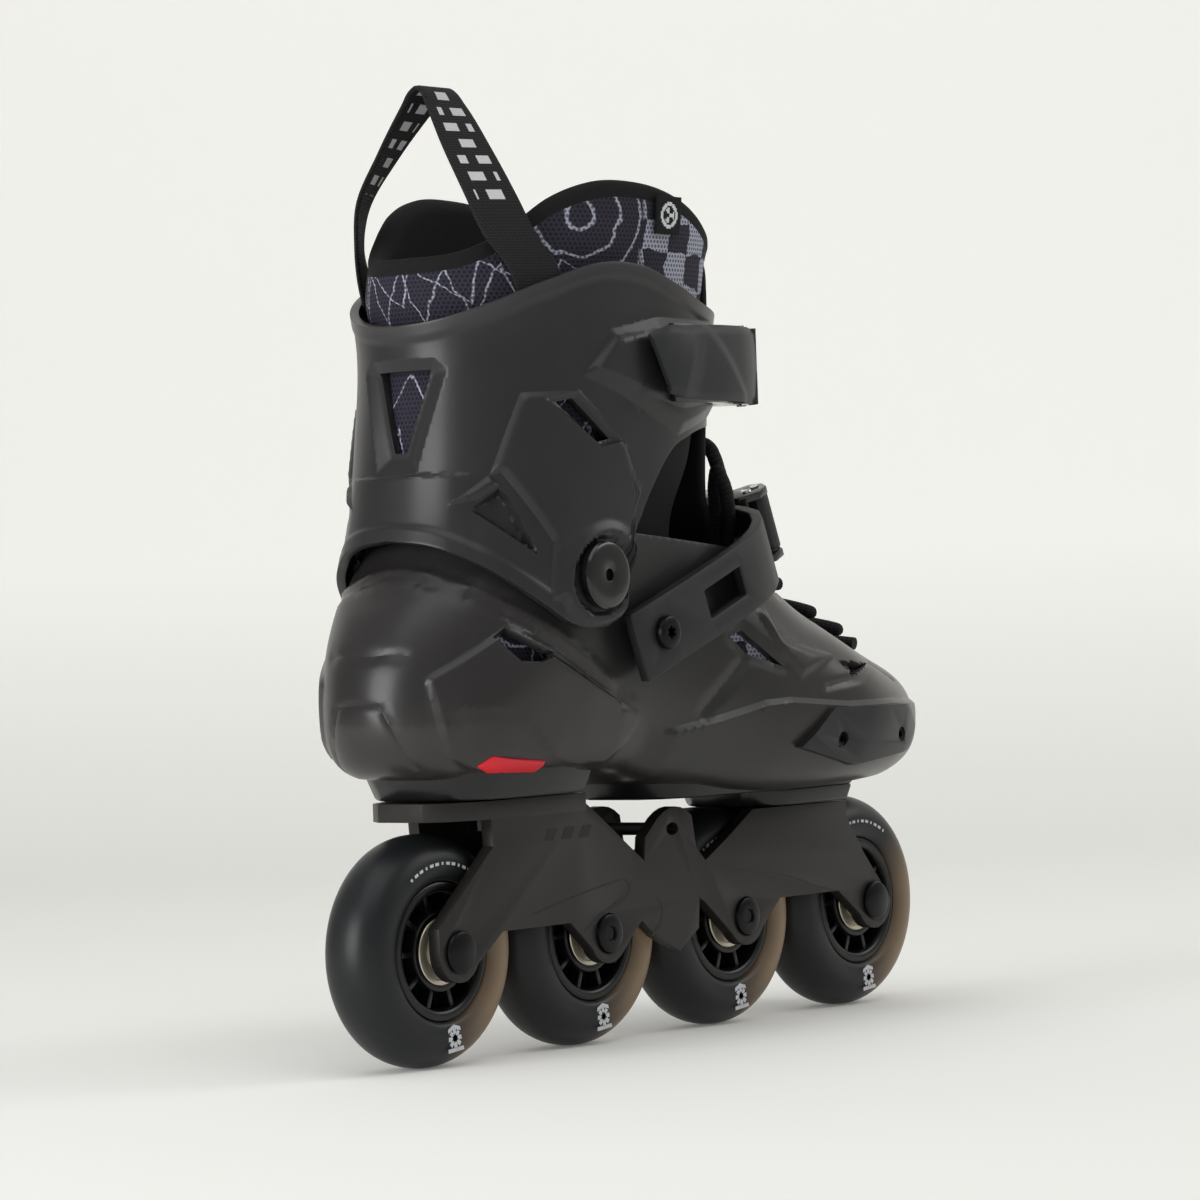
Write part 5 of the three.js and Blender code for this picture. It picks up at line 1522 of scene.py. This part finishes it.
def socket_screw(centre, radius, side, recess, sides, height=1.6):
    """A domed screw head with a star socket of that many points; side is which way it faces along Y."""
    x, y, z = centre
    inner = recess * 1.02
    profile = [(inner, -1.5), (inner, height * 0.94), (radius * 0.8, height), (radius * 0.94, height * 0.8),
               (radius, height * 0.35), (radius, -0.6)]
    bm = turned([(r, h * side) for r, h in profile], 48)
    socket = turned([(0.001, -1.2 * side), (inner, -1.2 * side)], 48)
    add_to(bm, socket)
    for k in range(sides):
        tooth = prism([(inner * 0.72, -0.34), (inner * 1.04, -0.5), (inner * 1.04, 0.5),
                       (inner * 0.72, 0.34)],
                      -1.2, height * 0.9)
        bmesh.ops.rotate(tooth, verts=tooth.verts, matrix=Matrix.Rotation(-side * math.pi / 2, 3, "X"))
        bmesh.ops.rotate(tooth, verts=tooth.verts, matrix=Matrix.Rotation(2 * math.pi * k / sides, 3, "Y"))
        add_to(bm, tooth)
    bmesh.ops.translate(bm, verts=bm.verts, vec=(x, y, z))
    return bm


BOLT_EDGE = 0.5
for place, x in AXLES.items():
    finished(f"axle_{place}", BOLT, "boot", BOLT_EDGE)
    finished(f"axle_screw_{place}", BOLT, "boot", BOLT_EDGE)
    if place in ("rear", "front"):
        cap = turned([(0.001, -19.7), (5.8, -19.7), (6.5, -19.4), (6.9, -18.8), (6.9, -18)], 64)
    else:
        cap = turned([(2.4, -18.9), (2.9, -19.3), (5.4, -19.3), (6.4, -18.9), (6.6, -18)], 64)
        add_to(cap, turned([(0.001, -18.55), (2.5, -18.55)], 6))
    keep(moved_to(cap, x), f"axle_cap_{place}", BOLT, "boot", sharp=30)

PIVOT_FACE, SOCKET_DEPTH = 49.7, 1.6
BOLT_DISC = [(1.9, -SOCKET_DEPTH), (2.1, -0.1), (2.5, 0), (9.4, 0.25), (10.6, -0.1), (11.2, -0.8),
             (11.2, -3.1),
             (4, -3.3), (4, -15.5)]
for side, name in ((OUTER_SIDE, "outer"), (INNER_SIDE, "inner")):
    disc = turned([(r, side * (PIVOT_FACE + out)) for r, out in BOLT_DISC], 96)
    add_to(disc, turned([(r, side * (PIVOT_FACE - SOCKET_DEPTH)) for r in (0.001, 2.0)], 6))
    keep(moved_to(disc, PIVOT_X, PIVOT_Z), f"cuff_bolt_{name}_disc", BUCKLE, "boot",
         [f"cuff_bolt_{name}"], sharp=30)
    finished(f"slider_{name}", SLIDER, "boot", 1.1, angle=24, sharp=26)
    for x in (51, 90):
        place, _ = look_out(FOOT_TREE, x + 154.1, 99, side)
        screw = socket_screw((x, place.y + side * 2.2, 99), 3.4, side, 1.5, 6, height=1.0)
        keep(screw, f"slider_screw_{name}_{'rear' if x < 70 else 'front'}", BOLT, "boot",
             sharp=30)

# %% [markdown]
# Two straps close the boot. A ladder strap with ratchet teeth runs into a buckle, and a lever presses it
# down. The levers swing, so they belong to bodies of their own. Steel rivets hold the buckles' cheeks.

# %% Straps and buckles
finished("instep_strap_outer", STRAP, "boot", 0.9, angle=30)
finished("instep_ladder_strap", STRAP, "boot", 0.4)
finished("cuff_ladder_strap", STRAP, "cuff", 0.4)
finished("cuff_buckle_base", BUCKLE, "cuff", 0.8)
finished("instep_buckle_body", BUCKLE, "boot", 1.0)
finished("instep_buckle_lever", LEVER, "instep_lever", 1.3)

for side, name, y in ((OUTER_SIDE, "outer", -50.4), (INNER_SIDE, "inner", 48.4)):
    keep(socket_screw((-42, y, 138.5), 5.6, side, 2.1, 6), f"strap_screw_{name}_head", BOLT, "boot",
         [f"instep_strap_screw_{name}"], sharp=30)


def in_instep(u, v, w):
    """A point in the tilted plane of the instep strap: along it, sideways and across its width."""
    return Vector(INSTEP_ORIGIN + INSTEP_A * u + INSTEP_C * w) + Vector((0, v, 0))


def strap_teeth(name, path, first, last, count, face, width, place, body):
    """A row of ratchet teeth along a strap's outer face. place turns (along, sideways, up) into a point."""
    line = smooth_line(np.array(path, float), 200)
    ways = ways_along(line)
    bm = bmesh.new()
    for k in np.linspace(first, last, count).astype(int):
        way = ways[k]
        out = np.array((way[1], -way[0])) * face
        low, high = line[k] + out * 0.9, line[k] + out * 1.8
        corners = [low - way, low + way, high + way * 0.6]
        skin(bm, [[bm.verts.new(place(p, q, w)) for p, q in corners] for w in (-width / 2, width / 2)])
    return keep(bm, name, STRAP, body, sharp=20)


LEVER_PLAN = [(-49, -53.4), (-44, -55.0), (-28, -55.3), (-6, -54.6), (6, -51.8), (15, -47.6), (21.5, -43.2),
              (25, -38.6)]
LEVER_HALF = [(-50, 10), (-44, 11.6), (-30, 12.4), (0, 13), (26, 13)]
LEVER_Z, LEVER_FLAT_Y = 228, -45

CUFF_STRAP_PATH = [(-30, 52), (0, 50), (20, 42), (32, 26), (36, 8), (32.5, -12), (20.5, -30)]
INNER_STRAP = [(-12, 46), (30, 48), (60, 47), (83, 33), (92.5, 12), (92.5, 0), (90, -7)]
strap_teeth("cuff_strap_teeth", CUFF_STRAP_PATH, 70, 150, 26, -1, 13, lambda p, q, w: (p, q, LEVER_Z + w),
            "cuff")
strap_teeth("instep_strap_teeth", INNER_STRAP, 96, 152, 20, -1, 10, in_instep, "boot")


def make_cuff_lever():
    """A long paddle that follows the cuff, faceted by two ridges, and hooks round its pin."""
    bm, across, up = grid(64, 26)
    u, v = across + 0.5, up + 0.5
    start = 7.5 * (1 - v) ** 1.4
    x = -49 + start + (25 + 49 - start) * u
    y = glide(x, *zip(*LEVER_PLAN))
    half = glide(x, *zip(*LEVER_HALF)) * (1 - 0.10 * share(1 - u * 9))
    ridge = share(1 - np.abs(x + 33 - 7 * (v - 0.5)) / 9)
    facet = share((x + 12 + 26 * (v - 0.55)) / 6)
    out = 1.4 * ridge * np.sin(v * math.pi) ** 0.5 - 1.3 * facet + 0.8 * (1 - (2 * v - 1) ** 2)
    out -= 1.2 * share(np.abs(2 * v - 1) - 0.82) / 0.18
    z = LEVER_Z + (2 * v - 1) * half
    lay(bm, np.stack([x, y - out * (y < LEVER_FLAT_Y), z], -1))
    bmesh.ops.recalc_face_normals(bm, faces=bm.faces)
    if next(iter(bm.faces)).normal.y > 0:
        bmesh.ops.reverse_faces(bm, faces=bm.faces)
    knuckle = turned([(0.001, -9.6), (3.5, -9.6), (3.6, -9.4), (3.6, 9.4), (3.5, 9.6), (0.001, 9.6)], 32)
    bmesh.ops.rotate(knuckle, verts=knuckle.verts, matrix=Matrix.Rotation(math.pi / 2, 3, "X"))
    keep(bm, "cuff_lever_paddle", LEVER, "cuff_lever", ["cuff_buckle_lever"], wall=2.6, edge=0.8,
         edge_angle=50, sharp=24)
    keep(moved_to(knuckle, 21, LEVER_Z, -36.5), "cuff_lever_knuckle", LEVER, "cuff_lever", sharp=40)


make_cuff_lever()


def rivet(place, normal, radius=1.9):
    """A small domed steel rivet standing on a face."""
    bm = turned([(0.001, 0.7), (radius * 0.45, 0.62), (radius * 0.5, 0.35), (radius * 0.62, 0.35),
                 (radius * 0.7, 0.65), (radius * 0.92, 0.5), (radius, 0)], 28)
    turn = Vector((0, 1, 0)).rotation_difference(Vector(normal)).to_matrix()
    bmesh.ops.rotate(bm, verts=bm.verts, matrix=turn)
    bmesh.ops.translate(bm, verts=bm.verts, vec=place)
    return bm


RIVET_OUT = 13.05
RIVETS = {
    "cuff": [((12, -44.2, LEVER_Z + side * RIVET_OUT), (0, 0, side)) for side in (1, -1)],
    "instep": [(in_instep(98.6, v, side * RIVET_OUT), side * INSTEP_C)
               for side in (1, -1) for v in (-19, -4)],
}
for strap, body in (("cuff", "cuff"), ("instep", "boot")):
    rivets = bmesh.new()
    for place, normal in RIVETS[strap]:
        add_to(rivets, rivet(place, normal))
    keep(rivets, f"{strap}_buckle_rivets", STEEL, body, sharp=30)
print("buckles hold", sum(len(places) for places in RIVETS.values()), "rivets")

# %% [markdown]
# ## The pieces that keep the CAD's shapes
# Whatever hasn't been replaced still shows as it was packed. Its slot in the record says which finish it
# takes.

# %% Finishes for the rest
FINISH_OF = dict(frame=FRAME, tyre=TYRE, hub=HUB, bearing=BEARING, fastener=BOLT, bright_steel=STEEL,
                 shell=SHELL,
                 red_rubber=RED, slider=SLIDER, liner=LINER, footbed=FOAM, webbing=PLAIN_WEBBING, strap=STRAP,
                 buckle=BUCKLE)
slots = {part["node"]: part["material_slot"] for part in frame["record"]["subparts"]}
plain = [name for name, node in nodes.items() if not node.hide_render]
for name in plain:
    finish = FINISH_OF.get(slots.get(name), STRAP)
    nodes[name].data.materials.clear()
    nodes[name].data.materials.append(finish.material)
print("pieces kept as packed:", len(plain))
